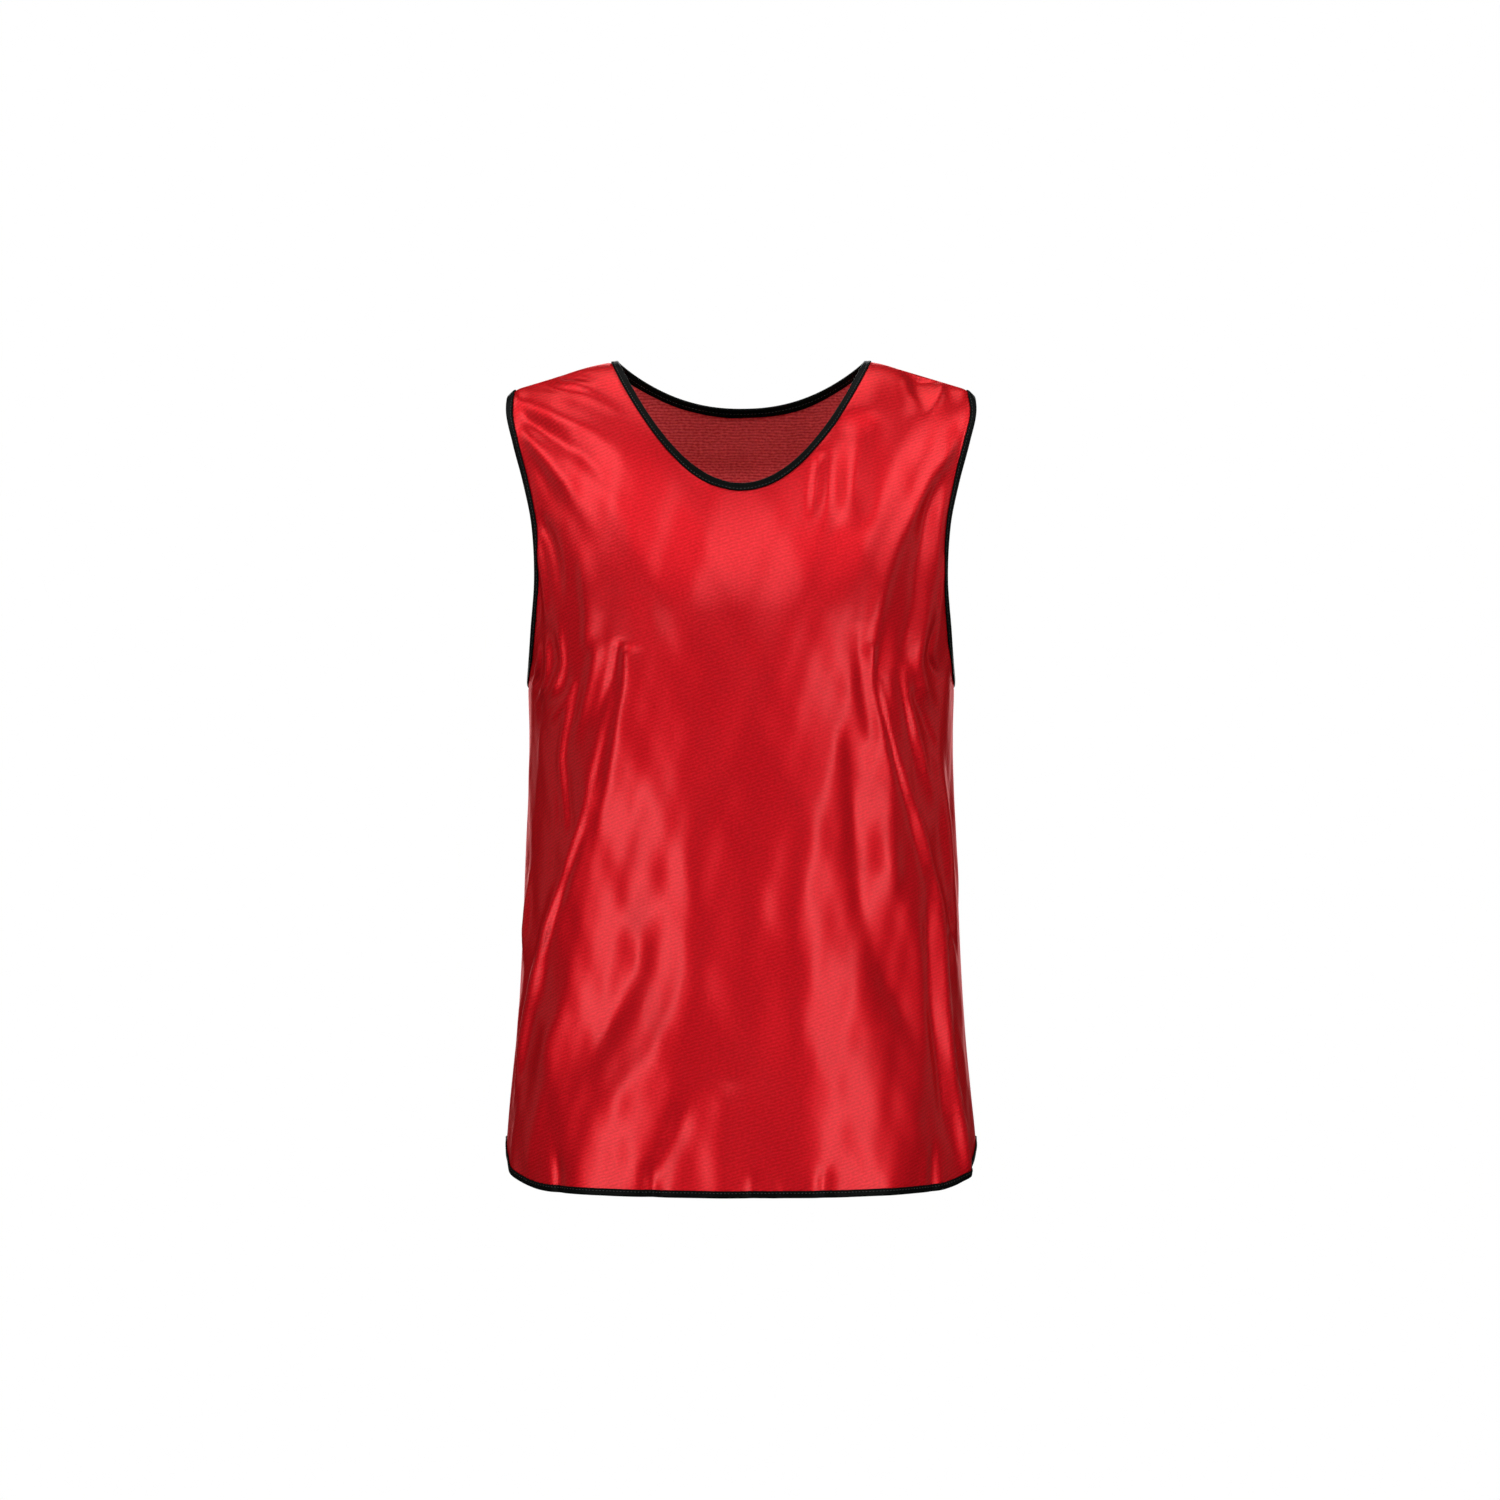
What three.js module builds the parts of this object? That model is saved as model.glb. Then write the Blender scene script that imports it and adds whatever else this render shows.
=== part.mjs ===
// A sleeveless training bib in light satin knit, filled out as when it is worn, with no wearer in it.
// It has a front and a back panel, and tape folded over the neckline, the armholes and the hem.
// Units are millimetres. +Z is up, -Y is the front, and +X is the wearer's left.
// The origin lies midway between the two shoulder seams, level with their neck ends.
// "Down" is the distance below the origin, and "across" is measured round the cloth from the centre line.
import * as THREE from "three";

// ---- Driving dimensions ----
const LENGTH = 686.5; // neck end of the shoulder seam to the bottom of the hem
const SIDE_SEAM_END = 655; // the side seams stop higher than the hem, where the tails round off
const TAIL_CORNER = 100; // how far from a side seam the hem begins to rise
const TAIL_ARCH = 9; // roundness of the hem where it crosses a side seam
const UNDERARM = 268; // down to the bottom of the armhole
const NECK_HALF = 104; // centre to the neck end of the shoulder seam
const NECK_DROP = { front: 110, back: 34.7 }; // down to the lowest point of the neckline
const NECK_CURVE = { front: 2, back: 2.2 }; // power of the neckline's curve, 2 is a parabola
const SHOULDER_TIP = 195.3; // centre to the armhole end of the shoulder seam
const SHOULDER_SLOPE = 0.3; // fall of the shoulder for each millimetre outwards
const SHOULDER_START = 111; // where the shoulder line begins to fall
const SHOULDER_SOFTNESS = 5; // how softly it does
const TIP_START = 184; // where the shoulder line begins to round down to its tip
const TIP_DROP = 4.5; // how far it does
const QUARTER_GIRTH = 255; // round the cloth from a centre line to a side seam

const CLOTH = 1.2; // wall thickness of the cloth
const SEAM_GAP = 0.3; // between the front and the back at a seam
const TAPE = 0.9; // thickness of the binding tape
const TAPE_GAP = 0.4; // between the tape and the cloth that it wraps
const TAPE_COVER = { neck: 6.2, armhole: 5.4, hem: 4.2 }; // how far the tape reaches in over the cloth

// The worn shape, level by level: half the width of the cloth, half the width of the whole ring that the
// armholes are cut from, and how far it stands in front of and behind the side seams at the centre line.
const LEVELS = [
  { down: 0, halfWidth: 194, ring: 222, front: 112, back: 106 },
  { down: 40, halfWidth: 198.7, ring: 219, front: 113, back: 109 },
  { down: 70, halfWidth: 192.2, ring: 210, front: 115, back: 112 },
  { down: 105, halfWidth: 182.5, ring: 200, front: 118, back: 115 },
  { down: 140, halfWidth: 175, ring: 194, front: 121, back: 117 },
  { down: 185, halfWidth: 172.4, ring: 189, front: 124, back: 118 },
  { down: 230, halfWidth: 176, ring: 184, front: 125, back: 116 },
  { down: 268, halfWidth: 178.3, ring: 178.3, front: 124, back: 113 },
  { down: 310, halfWidth: 177.5, ring: 177.5, front: 122, back: 110 },
  { down: 360, halfWidth: 178, ring: 178, front: 120, back: 107 },
  { down: 430, halfWidth: 181, ring: 181, front: 117, back: 105 },
  { down: 510, halfWidth: 184.5, ring: 184.5, front: 115, back: 106 },
  { down: 570, halfWidth: 188.3, ring: 188.3, front: 115, back: 108 },
  { down: 620, halfWidth: 193.2, ring: 193.2, front: 117, back: 111 },
  { down: 660, halfWidth: 197, ring: 197, front: 119, back: 114 },
  { down: 700, halfWidth: 198, ring: 198, front: 121, back: 117 },
];
const SECTION_SIDE = 2.3; // power that squares the ring towards the sides
const SECTION_FRONT = 2; // power that squares it towards the front
const SHOULDER_ROUND = { front: 215, back: 185 }; // down from the ridge to the fullest level
const SHOULDER_POWER = { front: 1.75, back: 1.9 }; // fullness between the ridge and that level
const ARMHOLE_CUT = 3; // how much narrower the armholes make the cloth, just above the underarm
const ARMHOLE_RISE = 15; // height over which they do, which rounds the bottom of the armhole

// Folds. Each runs from a head through a middle to a tail, given across and down on its panel (across is
// negative on the wearer's right). Width is half its breadth, lift its height (a trough has a negative
// lift), and head and tail are the shares of its length over which it rises and dies away.
const FOLD_COLUMNS = [
  "across0", "down0", "across1", "down1", "across2", "down2", "width", "lift", "head", "tail",
];
const FOLDS = {
  front: [
    [-92, 235, -131, 377, -205, 505, 13, 7.0, 0.1, 0.6],
    [-112, 262, -143, 352, -150, 395, 10, -3.5, 0.25, 0.4],
    [-126, 254, -160, 330, -150, 400, 9, 3.5, 0.3, 0.3],
    [-125, 245, -147, 286, -205, 312, 9, 3.0, 0.3, 0.5],
    [98, 236, 140, 350, 222, 520, 12, 6.5, 0.1, 0.4],
    [112, 250, 140, 335, 178, 440, 10, -3.5, 0.15, 0.5],
    [120, 246, 158, 322, 194, 420, 9, 4.0, 0.3, 0.4],
    [162, 112, 146, 165, 126, 236, 11, -3.5, 0.3, 0.3],
    [163, 39, 153, 82, 138, 130, 11, 2.4, 0.3, 0.5],
    [80, 46, 82, 100, 77, 168, 15, -3.0, 0.3, 0.5],
    [-150, 42, -112, 74, -78, 150, 14, -3.3, 0.2, 0.5],
    [-158, 48, -118, 90, -80, 172, 14, 3.2, 0.2, 0.5],
    [-140, 150, -143, 190, -136, 236, 12, -3.0, 0.4, 0.3],
    [38, 255, 42, 480, 56, 740, 26, 4.2, 0.25, 0.1],
    [84, 300, 102, 500, 160, 690, 15, -4.0, 0.2, 0.3],
    [146, 430, 152, 540, 176, 740, 14, -3.6, 0.3, 0.1],
    [176, 430, 188, 570, 200, 700, 13, 4.6, 0.3, 0.3],
    [-46, 330, -48, 500, -84, 740, 16, 4.6, 0.2, 0.1],
    [-76, 440, -112, 566, -160, 700, 15, -4.2, 0.3, 0.2],
    [-100, 400, -118, 500, -164, 600, 15, 3.4, 0.35, 0.4],
    [-172, 410, -190, 500, -214, 640, 11, 4.6, 0.25, 0.4],
    [-116, 620, -138, 672, -148, 740, 13, 3.2, 0.35, 0.1],
  ],
  back: [
    [-108, 190, -130, 480, -150, 740, 20, 5.2, 0.2, 0.1],
    [-62, 250, -66, 430, -74, 740, 16, 4.0, 0.3, 0.1],
    [-40, 330, -42, 500, -46, 740, 14, -3.4, 0.4, 0.1],
    [-14, 270, -18, 440, -14, 740, 18, 3.8, 0.4, 0.1],
    [22, 260, 24, 420, 34, 740, 15, -4.2, 0.3, 0.1],
    [58, 235, 60, 400, 66, 740, 15, 4.6, 0.3, 0.1],
    [112, 195, 122, 360, 130, 740, 18, 5.4, 0.2, 0.1],
    [150, 330, 158, 480, 164, 740, 15, -4.0, 0.4, 0.1],
    [-160, 360, -168, 520, -180, 740, 15, -3.8, 0.4, 0.1],
    [-158, 228, -172, 270, -206, 330, 10, 3.2, 0.3, 0.6],
    [160, 226, 176, 276, 208, 345, 10, 3.2, 0.3, 0.6],
    [-166, 46, -124, 96, -92, 180, 14, 2.8, 0.2, 0.5],
    [168, 44, 128, 100, 98, 176, 14, 2.8, 0.2, 0.5],
  ],
};
const SPINE_STEPS = 16; // straight steps that a fold's line is measured along
const FOLD_STILL_EDGE = 16; // a bound edge holds the cloth still over this distance
const SIDE_SEAM_STILL = 20; // and so does a side seam

// How finely the cloth is divided: columns for half a panel, those of them that end at the neckline,
// and rows below and above the underarm.
const HALF_COLUMNS = { front: 22, back: 17 };
const NECK_COLUMNS = { front: 9, back: 7 };
const BODY_ROWS = 15;
const ARMHOLE_ROWS = 13;
const TOP_ROW = BODY_ROWS + ARMHOLE_ROWS;
const CLOSE_IN_FROM = 0.5; // share of the height from which the columns close in towards the shoulder
const SIDE_HOLD = 4; // power that keeps the correction along a side from spreading inwards

const SATIN_RED = { color: 0xb80f1e, roughness: 0.42, metalness: 0 };
const TAPE_BLACK = { color: 0x141815, roughness: 0.5, metalness: 0 };

// ---- The shape of the worn cloth ----

// Reads one column of a table at any level, with a smooth curve through its rows.
function readTable(rows, column, level) {
  const last = rows.length - 1;
  const inside = THREE.MathUtils.clamp(level, rows[0].down, rows[last].down);
  const next = Math.max(1, rows.findIndex((row) => row.down >= inside));
  const [a, b] = [rows[next - 1], rows[next]];
  const slopeAt = (i) => {
    const [p, q] = [rows[Math.max(i - 1, 0)], rows[Math.min(i + 1, last)]];
    return (q[column] - p[column]) / (q.down - p.down);
  };
  const span = b.down - a.down;
  const t = (inside - a.down) / span;
  const stay = 2 * t ** 3 - 3 * t ** 2 + 1;
  const leave = (t ** 3 - 2 * t ** 2 + t) * span;
  const arrive = (t ** 3 - t ** 2) * span;
  return stay * a[column] + leave * slopeAt(next - 1) + (1 - stay) * b[column] + arrive * slopeAt(next);
}

const smooth = (t) => THREE.MathUtils.smoothstep(t, 0, 1);

// How far down the shoulder's ridge is at a distance from the centre.
function ridgeDown(x) {
  const past = (Math.abs(x) - SHOULDER_START) / SHOULDER_SOFTNESS;
  const slope = SHOULDER_SLOPE * SHOULDER_SOFTNESS * Math.log1p(Math.exp(past));
  const tip = Math.max(Math.abs(x) - TIP_START, 0) / (SHOULDER_TIP - TIP_START);
  return slope + TIP_DROP * tip ** 2;
}

// Half the width of the cloth at a level, as far as the armhole's edge above the underarm.
function clothHalfWidth(down) {
  const risen = Math.max(UNDERARM - down, 0);
  return readTable(LEVELS, "halfWidth", down) - ARMHOLE_CUT * (1 - Math.exp(-risen / ARMHOLE_RISE));
}

// A point of the plain cloth, before its folds, from its place as seen from the front. A back panel is
// drawn the same way, as if it were a front, and is turned round when it is finished.
function plainPoint(panel, x, down) {
  const widest = Math.max(readTable(LEVELS, "ring", down), readTable(LEVELS, "halfWidth", down));
  const outwards = Math.min(Math.abs(x) / widest, 1);
  const ring = (1 - outwards ** SECTION_SIDE) ** (1 / SECTION_FRONT);
  const below = THREE.MathUtils.clamp((down - ridgeDown(x)) / SHOULDER_ROUND[panel], 0, 1);
  const power = SHOULDER_POWER[panel];
  const roof = (1 - (1 - below) ** power) ** (1 / power);
  return new THREE.Vector3(x, -readTable(LEVELS, panel, down) * ring * roof, -down);
}

// The outward normal of the plain cloth.
function plainNormal(panel, x, down) {
  const step = 1;
  const across = plainPoint(panel, x + step, down).sub(plainPoint(panel, x - step, down));
  const up = plainPoint(panel, x, down - step).sub(plainPoint(panel, x, down + step));
  return across.cross(up);
}

// The hem's distance down at a share of the way from the centre line to the side seam.
function hemDown(share) {
  const fromSeam = Math.hypot((1 - share) * QUARTER_GIRTH, TAIL_ARCH) - TAIL_ARCH;
  const corner = Math.max(0, 1 - fromSeam / TAIL_CORNER);
  return LENGTH - (LENGTH - SIDE_SEAM_END) * corner ** 2;
}

// ---- Folds ----

const foldSpines = Object.fromEntries(
  Object.entries(FOLDS).map(([panel, rows]) => [
    panel,
    rows.map((row) => {
      const fold = Object.fromEntries(FOLD_COLUMNS.map((name, i) => [name, row[i]]));
      const through = [0, 1, 2].map((i) => new THREE.Vector2(fold[`across${i}`], fold[`down${i}`]));
      return { ...fold, spine: new THREE.SplineCurve(through).getPoints(SPINE_STEPS) };
    }),
  ]),
);

// How high one fold stands at a place on the cloth.
function foldLift(fold, place) {
  let nearest = Infinity;
  let along = 0;
  for (let i = 0; i < SPINE_STEPS; i++) {
    const run = fold.spine[i + 1].clone().sub(fold.spine[i]);
    const offset = place.clone().sub(fold.spine[i]);
    const t = THREE.MathUtils.clamp(offset.dot(run) / run.lengthSq(), 0, 1);
    const distance = offset.addScaledVector(run, -t).length();
    if (distance < nearest) {
      nearest = distance;
      along = (i + t) / SPINE_STEPS;
    }
  }
  const rise = smooth(along / fold.head) * smooth((1 - along) / fold.tail);
  return fold.lift * rise * Math.exp(-((nearest / fold.width) ** 2));
}

// The whole height of the folds at a place, which dies away at a bound edge and at the side seams.
function foldsAt(panel, share, down, edgeDistance) {
  const place = new THREE.Vector2(share * QUARTER_GIRTH, down);
  const lift = foldSpines[panel].reduce((sum, fold) => sum + foldLift(fold, place), 0);
  const fromSideSeam = (1 - Math.abs(share)) * QUARTER_GIRTH;
  return lift * smooth(edgeDistance / FOLD_STILL_EDGE) * smooth(fromSideSeam / SIDE_SEAM_STILL);
}

// ---- Half panels ----

// One bound edge of a half panel: for each place along it the point on the edge, and the point that the
// tip of the tape reaches. The walk keeps the cloth on its right as seen from outside.
function boundEdge(panel, places, cover, firstWay, lastWay) {
  const edges = places.map(({ x, down }) => plainPoint(panel, x, down));
  const last = edges.length - 1;
  return edges.map((edge, i) => {
    const ends = { 0: firstWay, [last]: lastWay };
    const along = ends[i]?.clone() ?? edges[i + 1].clone().sub(edges[i - 1]);
    const normal = plainNormal(panel, places[i].x, places[i].down);
    if (along.x === 0 && along.z === 0) normal.y = 0;
    return { edge, tip: edge.clone().addScaledVector(along.cross(normal).normalize(), cover) };
  });
}

const sideways = new THREE.Vector3(1, 0, 0);
const rearwards = new THREE.Vector3(0, 1, 0);
const count = (from, to) => Array.from({ length: to - from + 1 }, (_, i) => from + i);

// The neckline, from the centre line to the shoulder.
function neckEdge(panel) {
  const start = ridgeDown(NECK_HALF);
  const places = count(0, NECK_COLUMNS[panel]).map((column) => {
    const x = NECK_HALF * Math.sin((column / NECK_COLUMNS[panel]) * (Math.PI / 2));
    const drop = (NECK_DROP[panel] - start) * (1 - (x / NECK_HALF) ** NECK_CURVE[panel]);
    return { x, down: start + drop };
  });
  return boundEdge(panel, places, TAPE_COVER.neck, sideways, rearwards);
}

// The armhole, from the underarm to the shoulder.
function armholeEdge(panel) {
  const top = ridgeDown(SHOULDER_TIP);
  const places = count(0, ARMHOLE_ROWS).map((row) => {
    const crowded = (1 - Math.cos((row / ARMHOLE_ROWS) * Math.PI)) / 2;
    const down = THREE.MathUtils.lerp(UNDERARM, top, crowded);
    return { x: row === ARMHOLE_ROWS ? SHOULDER_TIP : clothHalfWidth(down), down };
  });
  const forwards = rearwards.clone().negate();
  return boundEdge(panel, places.reverse(), TAPE_COVER.armhole, forwards, rearwards).reverse();
}

// The hem, from the centre line to the side seam.
function hemEdge(panel) {
  const places = count(0, HALF_COLUMNS[panel]).map((column) => {
    const share = column / HALF_COLUMNS[panel];
    const down = hemDown(share);
    return { x: clothHalfWidth(down) * Math.sin((share * Math.PI) / 2), down };
  });
  const forwards = rearwards.clone().negate();
  const inwards = sideways.clone().negate();
  return boundEdge(panel, places.reverse(), TAPE_COVER.hem, forwards, inwards).reverse();
}

// Half a panel as points by row and column: rows from 0 at the tip of the hem's tape to TOP_ROW, columns
// from the centre line to the side. One more row or column under each tape runs out to the bound edge.
function halfPanel(panel) {
  const lastColumn = HALF_COLUMNS[panel];
  const neckColumns = NECK_COLUMNS[panel];
  const [neck, armhole, hem] = [neckEdge(panel), armholeEdge(panel), hemEdge(panel)];
  const shoulderStart = neck[neckColumns].tip;
  const shoulderEnd = armhole[ARMHOLE_ROWS].tip;

  const top = (column) => {
    if (column <= neckColumns) return neck[column].tip;
    const along = (column - neckColumns) / (lastColumn - neckColumns);
    const x = THREE.MathUtils.lerp(shoulderStart.x, shoulderEnd.x, along);
    return new THREE.Vector3(x, 0, -ridgeDown(x));
  };
  const side = (row) => {
    if (row > BODY_ROWS) return armhole[row - BODY_ROWS].tip;
    const z = THREE.MathUtils.lerp(hem[lastColumn].tip.z, armhole[0].tip.z, row / BODY_ROWS);
    return new THREE.Vector3(clothHalfWidth(-z), 0, z);
  };
  const sideHeight = shoulderEnd.z - hem[lastColumn].tip.z;
  const upAtSide = (row) => (side(row).z - hem[lastColumn].tip.z) / sideHeight;

  // Where a row crosses a column, as seen from the front. Towards the shoulder the rows crowd as they do
  // at the armhole, and under the neckline they are even.
  const place = (row, column) => {
    const even = THREE.MathUtils.mapLinear(row, BODY_ROWS, TOP_ROW, upAtSide(BODY_ROWS), 1);
    const crowding = Math.min(column / neckColumns, 1) ** 2;
    const up = row <= BODY_ROWS ? upAtSide(row) : THREE.MathUtils.lerp(even, upAtSide(row), crowding);
    const end = top(column);
    const down = -THREE.MathUtils.lerp(hem[column].tip.z, end.z, up);
    const bodyReach = Math.sin((column / lastColumn) * (Math.PI / 2));
    const topReach = end.x / clothHalfWidth(-end.z);
    const closingIn = smooth((up - CLOSE_IN_FROM) / (1 - CLOSE_IN_FROM));
    const reach = THREE.MathUtils.lerp(bodyReach, topReach, closingIn);
    return { x: clothHalfWidth(down) * reach, down };
  };

  const points = {};
  for (const column of count(0, lastColumn)) {
    points[[-1, column]] = hem[column].edge;
    if (column <= neckColumns) points[[TOP_ROW + 1, column]] = neck[column].edge;
    for (const row of count(0, TOP_ROW)) {
      const { x, down } = place(row, column);
      const correction = (side(row).x - place(row, lastColumn).x) * (column / lastColumn) ** SIDE_HOLD;
      points[[row, column]] = plainPoint(panel, x + correction, down);
    }
    points[[0, column]] = hem[column].tip;
    points[[TOP_ROW, column]] = top(column);
  }
  for (const row of count(0, TOP_ROW)) points[[row, lastColumn]] = side(row);
  armhole.forEach(({ edge }, i) => {
    points[[BODY_ROWS + i, lastColumn + 1]] = edge;
  });
  return points;
}

// ---- Panels ----

// Whether a place on a panel lies on a seam, where the front and the back meet face to face.
function isOnSeam(panel, row, column) {
  const out = Math.abs(column);
  const lastColumn = HALF_COLUMNS[panel];
  const neckColumns = NECK_COLUMNS[panel];
  const onSide = (out === lastColumn && row <= BODY_ROWS) || (out > lastColumn && row === BODY_ROWS);
  const onShoulder = (row === TOP_ROW && out >= neckColumns) || (row > TOP_ROW && out === neckColumns);
  return onSide || onShoulder;
}

// The outward normal at every point of a panel. On a seam it has no part along Y.
function panelNormals(panel, points) {
  const normals = {};
  for (const key of Object.keys(points)) {
    const [row, column] = key.split(",").map(Number);
    const near = (r, c) => points[[r, c]] ?? points[key];
    const across = near(row, column + 1).clone().sub(near(row, column - 1));
    const normal = across.cross(near(row + 1, column).clone().sub(near(row - 1, column)));
    if (isOnSeam(panel, row, column)) normal.y = 0;
    normals[key] = normal.normalize();
  }
  return normals;
}

// A whole panel's middle surface: two mirrored halves, raised and sunk by the folds.
function makePanel(panel) {
  const half = halfPanel(panel);
  const lastColumn = HALF_COLUMNS[panel];
  const points = {};
  for (const key of Object.keys(half)) {
    const [row, column] = key.split(",").map(Number);
    points[[row, column]] = half[key].clone();
    points[[row, -column]] = half[key].clone().multiply(new THREE.Vector3(column === 0 ? 1 : -1, 1, 1));
  }
  const plainNormals = panelNormals(panel, points);
  const folded = {};
  for (const key of Object.keys(points)) {
    const [row, column] = key.split(",").map(Number);
    const point = points[key];
    const shoulder = points[[TOP_ROW, THREE.MathUtils.clamp(column, -lastColumn, lastColumn)]];
    const top = points[[TOP_ROW + 1, column]] ?? shoulder;
    const armhole = points[[Math.max(row, BODY_ROWS), Math.sign(column) * (lastColumn + 1)]];
    const toArmhole = armhole && row <= TOP_ROW ? point.distanceTo(armhole) : Infinity;
    const still = Math.min(point.distanceTo(top), toArmhole);
    const lift = foldsAt(panel, column / lastColumn, -point.z, still);
    folded[key] = point.clone().addScaledVector(plainNormals[key], lift);
  }
  return { points: folded, normals: panelNormals(panel, folded) };
}

// Joins points and quads into a geometry. A quad lists its corners anticlockwise as seen from outside.
function geometryOf(points, quads) {
  const geometry = new THREE.BufferGeometry();
  const coordinates = points.flatMap((point) => point.toArray());
  geometry.setAttribute("position", new THREE.Float32BufferAttribute(coordinates, 3));
  geometry.setIndex(quads.flatMap(([a, b, c, d]) => [a, b, c, a, c, d]));
  geometry.computeVertexNormals();
  return geometry;
}

// The cells of a panel, as the keys of their corners. The four corners are all there for every cell.
function panelCells({ points }) {
  const cells = [];
  for (const key of Object.keys(points)) {
    const [row, column] = key.split(",").map(Number);
    const steps = [[0, 0], [0, 1], [1, 1], [1, 0]];
    const corners = steps.map(([up, across]) => String([row + up, column + across]));
    if (corners.every((corner) => points[corner])) cells.push(corners);
  }
  return cells;
}

// Turns a finished back panel to face rearwards.
const facing = (panel, point) => (panel === "back" ? point.multiply(new THREE.Vector3(1, -1, 1)) : point);

// A panel as a closed wall: its outer face, its inner face, and the rim between them.
function panelGeometry(panel, made) {
  const keys = Object.keys(made.points);
  const place = Object.fromEntries(keys.map((key, i) => [key, i]));
  const face = (offset) =>
    keys.map((key) => {
      const moved = made.points[key].clone().addScaledVector(made.normals[key], offset);
      moved.y -= SEAM_GAP / 2;
      return facing(panel, moved);
    });
  const outer = panelCells(made).map((corners) => corners.map((corner) => place[corner]));
  const inner = outer.map((corners) => corners.map((corner) => corner + keys.length).reverse());
  const sides = outer.flatMap((corners) =>
    corners.map((corner, i) => [corner, corners[(i + 1) % corners.length]]),
  );
  const paired = new Set(sides.map(([from, to]) => `${to} ${from}`));
  const rim = sides
    .filter(([from, to]) => !paired.has(`${from} ${to}`))
    .map(([from, to]) => [to, from, from + keys.length, to + keys.length]);
  const quads = [...outer, ...inner, ...rim];
  if (panel === "back") quads.forEach((quad) => quad.reverse());
  return geometryOf([...face(CLOTH / 2), ...face(-CLOTH / 2)], quads);
}

// ---- Bindings ----

const panels = { front: makePanel("front"), back: makePanel("back") };

// A station of a tape: the cloth's edge and the tape's tip, with the cloth's normal at both.
function station(panel, edgeKey, tipKey) {
  const { points, normals } = panels[panel];
  const turned = (vector) => facing(panel, vector.clone());
  return {
    edge: turned(points[edgeKey]),
    tip: turned(points[tipKey]),
    edgeNormal: turned(normals[edgeKey]),
    tipNormal: turned(normals[tipKey]),
  };
}

// A tape folded over a bound edge, drawn as one section at every station and closed into a ring.
function bindingGeometry(stations) {
  const lining = CLOTH / 2 + TAPE_GAP;
  const outside = lining + TAPE;
  const sections = stations.map(({ edge, tip, edgeNormal, tipNormal }) => {
    const beyond = edge.clone().sub(tip).normalize();
    const atTip = (height) => tip.clone().addScaledVector(tipNormal, height);
    const atEdge = (height, past) =>
      edge.clone().addScaledVector(edgeNormal, height).addScaledVector(beyond, past);
    return [
      atTip(outside),
      atEdge(outside, 0),
      atEdge(CLOTH / 2, TAPE_GAP + TAPE),
      atEdge(-CLOTH / 2, TAPE_GAP + TAPE),
      atEdge(-outside, 0),
      atTip(-outside),
      atTip(-lining),
      atEdge(-lining, TAPE_GAP),
      atEdge(lining, TAPE_GAP),
      atTip(lining),
    ];
  });
  const size = sections[0].length;
  const quads = sections.flatMap((section, i) => {
    const here = i * size;
    const next = ((i + 1) % sections.length) * size;
    return section.map((_, k) => {
      const after = (k + 1) % size;
      return [here + k, next + k, next + after, here + after];
    });
  });
  return geometryOf(sections.flat(), quads);
}

// The neckline, round the front from the wearer's right to left, and back behind the neck.
function neckStations() {
  const at = (panel, column) => station(panel, [TOP_ROW + 1, column], [TOP_ROW, column]);
  const front = count(-NECK_COLUMNS.front, NECK_COLUMNS.front).map((column) => at("front", column));
  const back = count(-NECK_COLUMNS.back + 1, NECK_COLUMNS.back - 1).map((column) => at("back", column));
  return [...front, ...back.reverse()];
}

// An armhole. Its side is 1 on the wearer's left, and -1 on the right.
function armholeStations(side) {
  const at = (panel, row) => {
    const column = side * HALF_COLUMNS[panel];
    return station(panel, [row, column + side], [row, column]);
  };
  const front = count(BODY_ROWS, TOP_ROW).map((row) => at("front", row));
  const back = count(BODY_ROWS + 1, TOP_ROW - 1).map((row) => at("back", row));
  const ring = [...front, ...back.reverse()];
  return side > 0 ? ring.reverse() : ring;
}

// The hem, round the front from the wearer's left to right, and back behind.
function hemStations() {
  const at = (panel, column) => station(panel, [-1, column], [0, column]);
  const front = count(-HALF_COLUMNS.front, HALF_COLUMNS.front).map((column) => at("front", column));
  const back = count(-HALF_COLUMNS.back + 1, HALF_COLUMNS.back - 1).map((column) => at("back", column));
  return [...front.reverse(), ...back];
}

// ---- The bib ----

const pieces = [
  ["front_panel", panelGeometry("front", panels.front), SATIN_RED],
  ["back_panel", panelGeometry("back", panels.back), SATIN_RED],
  ["neck_binding", bindingGeometry(neckStations()), TAPE_BLACK],
  ["armhole_binding_left", bindingGeometry(armholeStations(1)), TAPE_BLACK],
  ["armhole_binding_right", bindingGeometry(armholeStations(-1)), TAPE_BLACK],
  ["hem_binding", bindingGeometry(hemStations()), TAPE_BLACK],
];

const bib = new THREE.Group();
for (const [name, geometry, finish] of pieces) {
  const mesh = new THREE.Mesh(geometry, new THREE.MeshStandardMaterial(finish));
  mesh.name = name;
  bib.add(mesh);
}

export default bib;
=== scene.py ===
# %% [markdown]
# # A training bib, filled out as when it is worn
# This lesson dresses a simple model of a team training bib. The real bib is two pieces of thin red satin
# knit, sewn at the shoulders and sides, with black tape folded over every open edge. The simple model is
# loaded first. It is a fixed frame: everything made here has to lie where its pieces lie.

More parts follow.
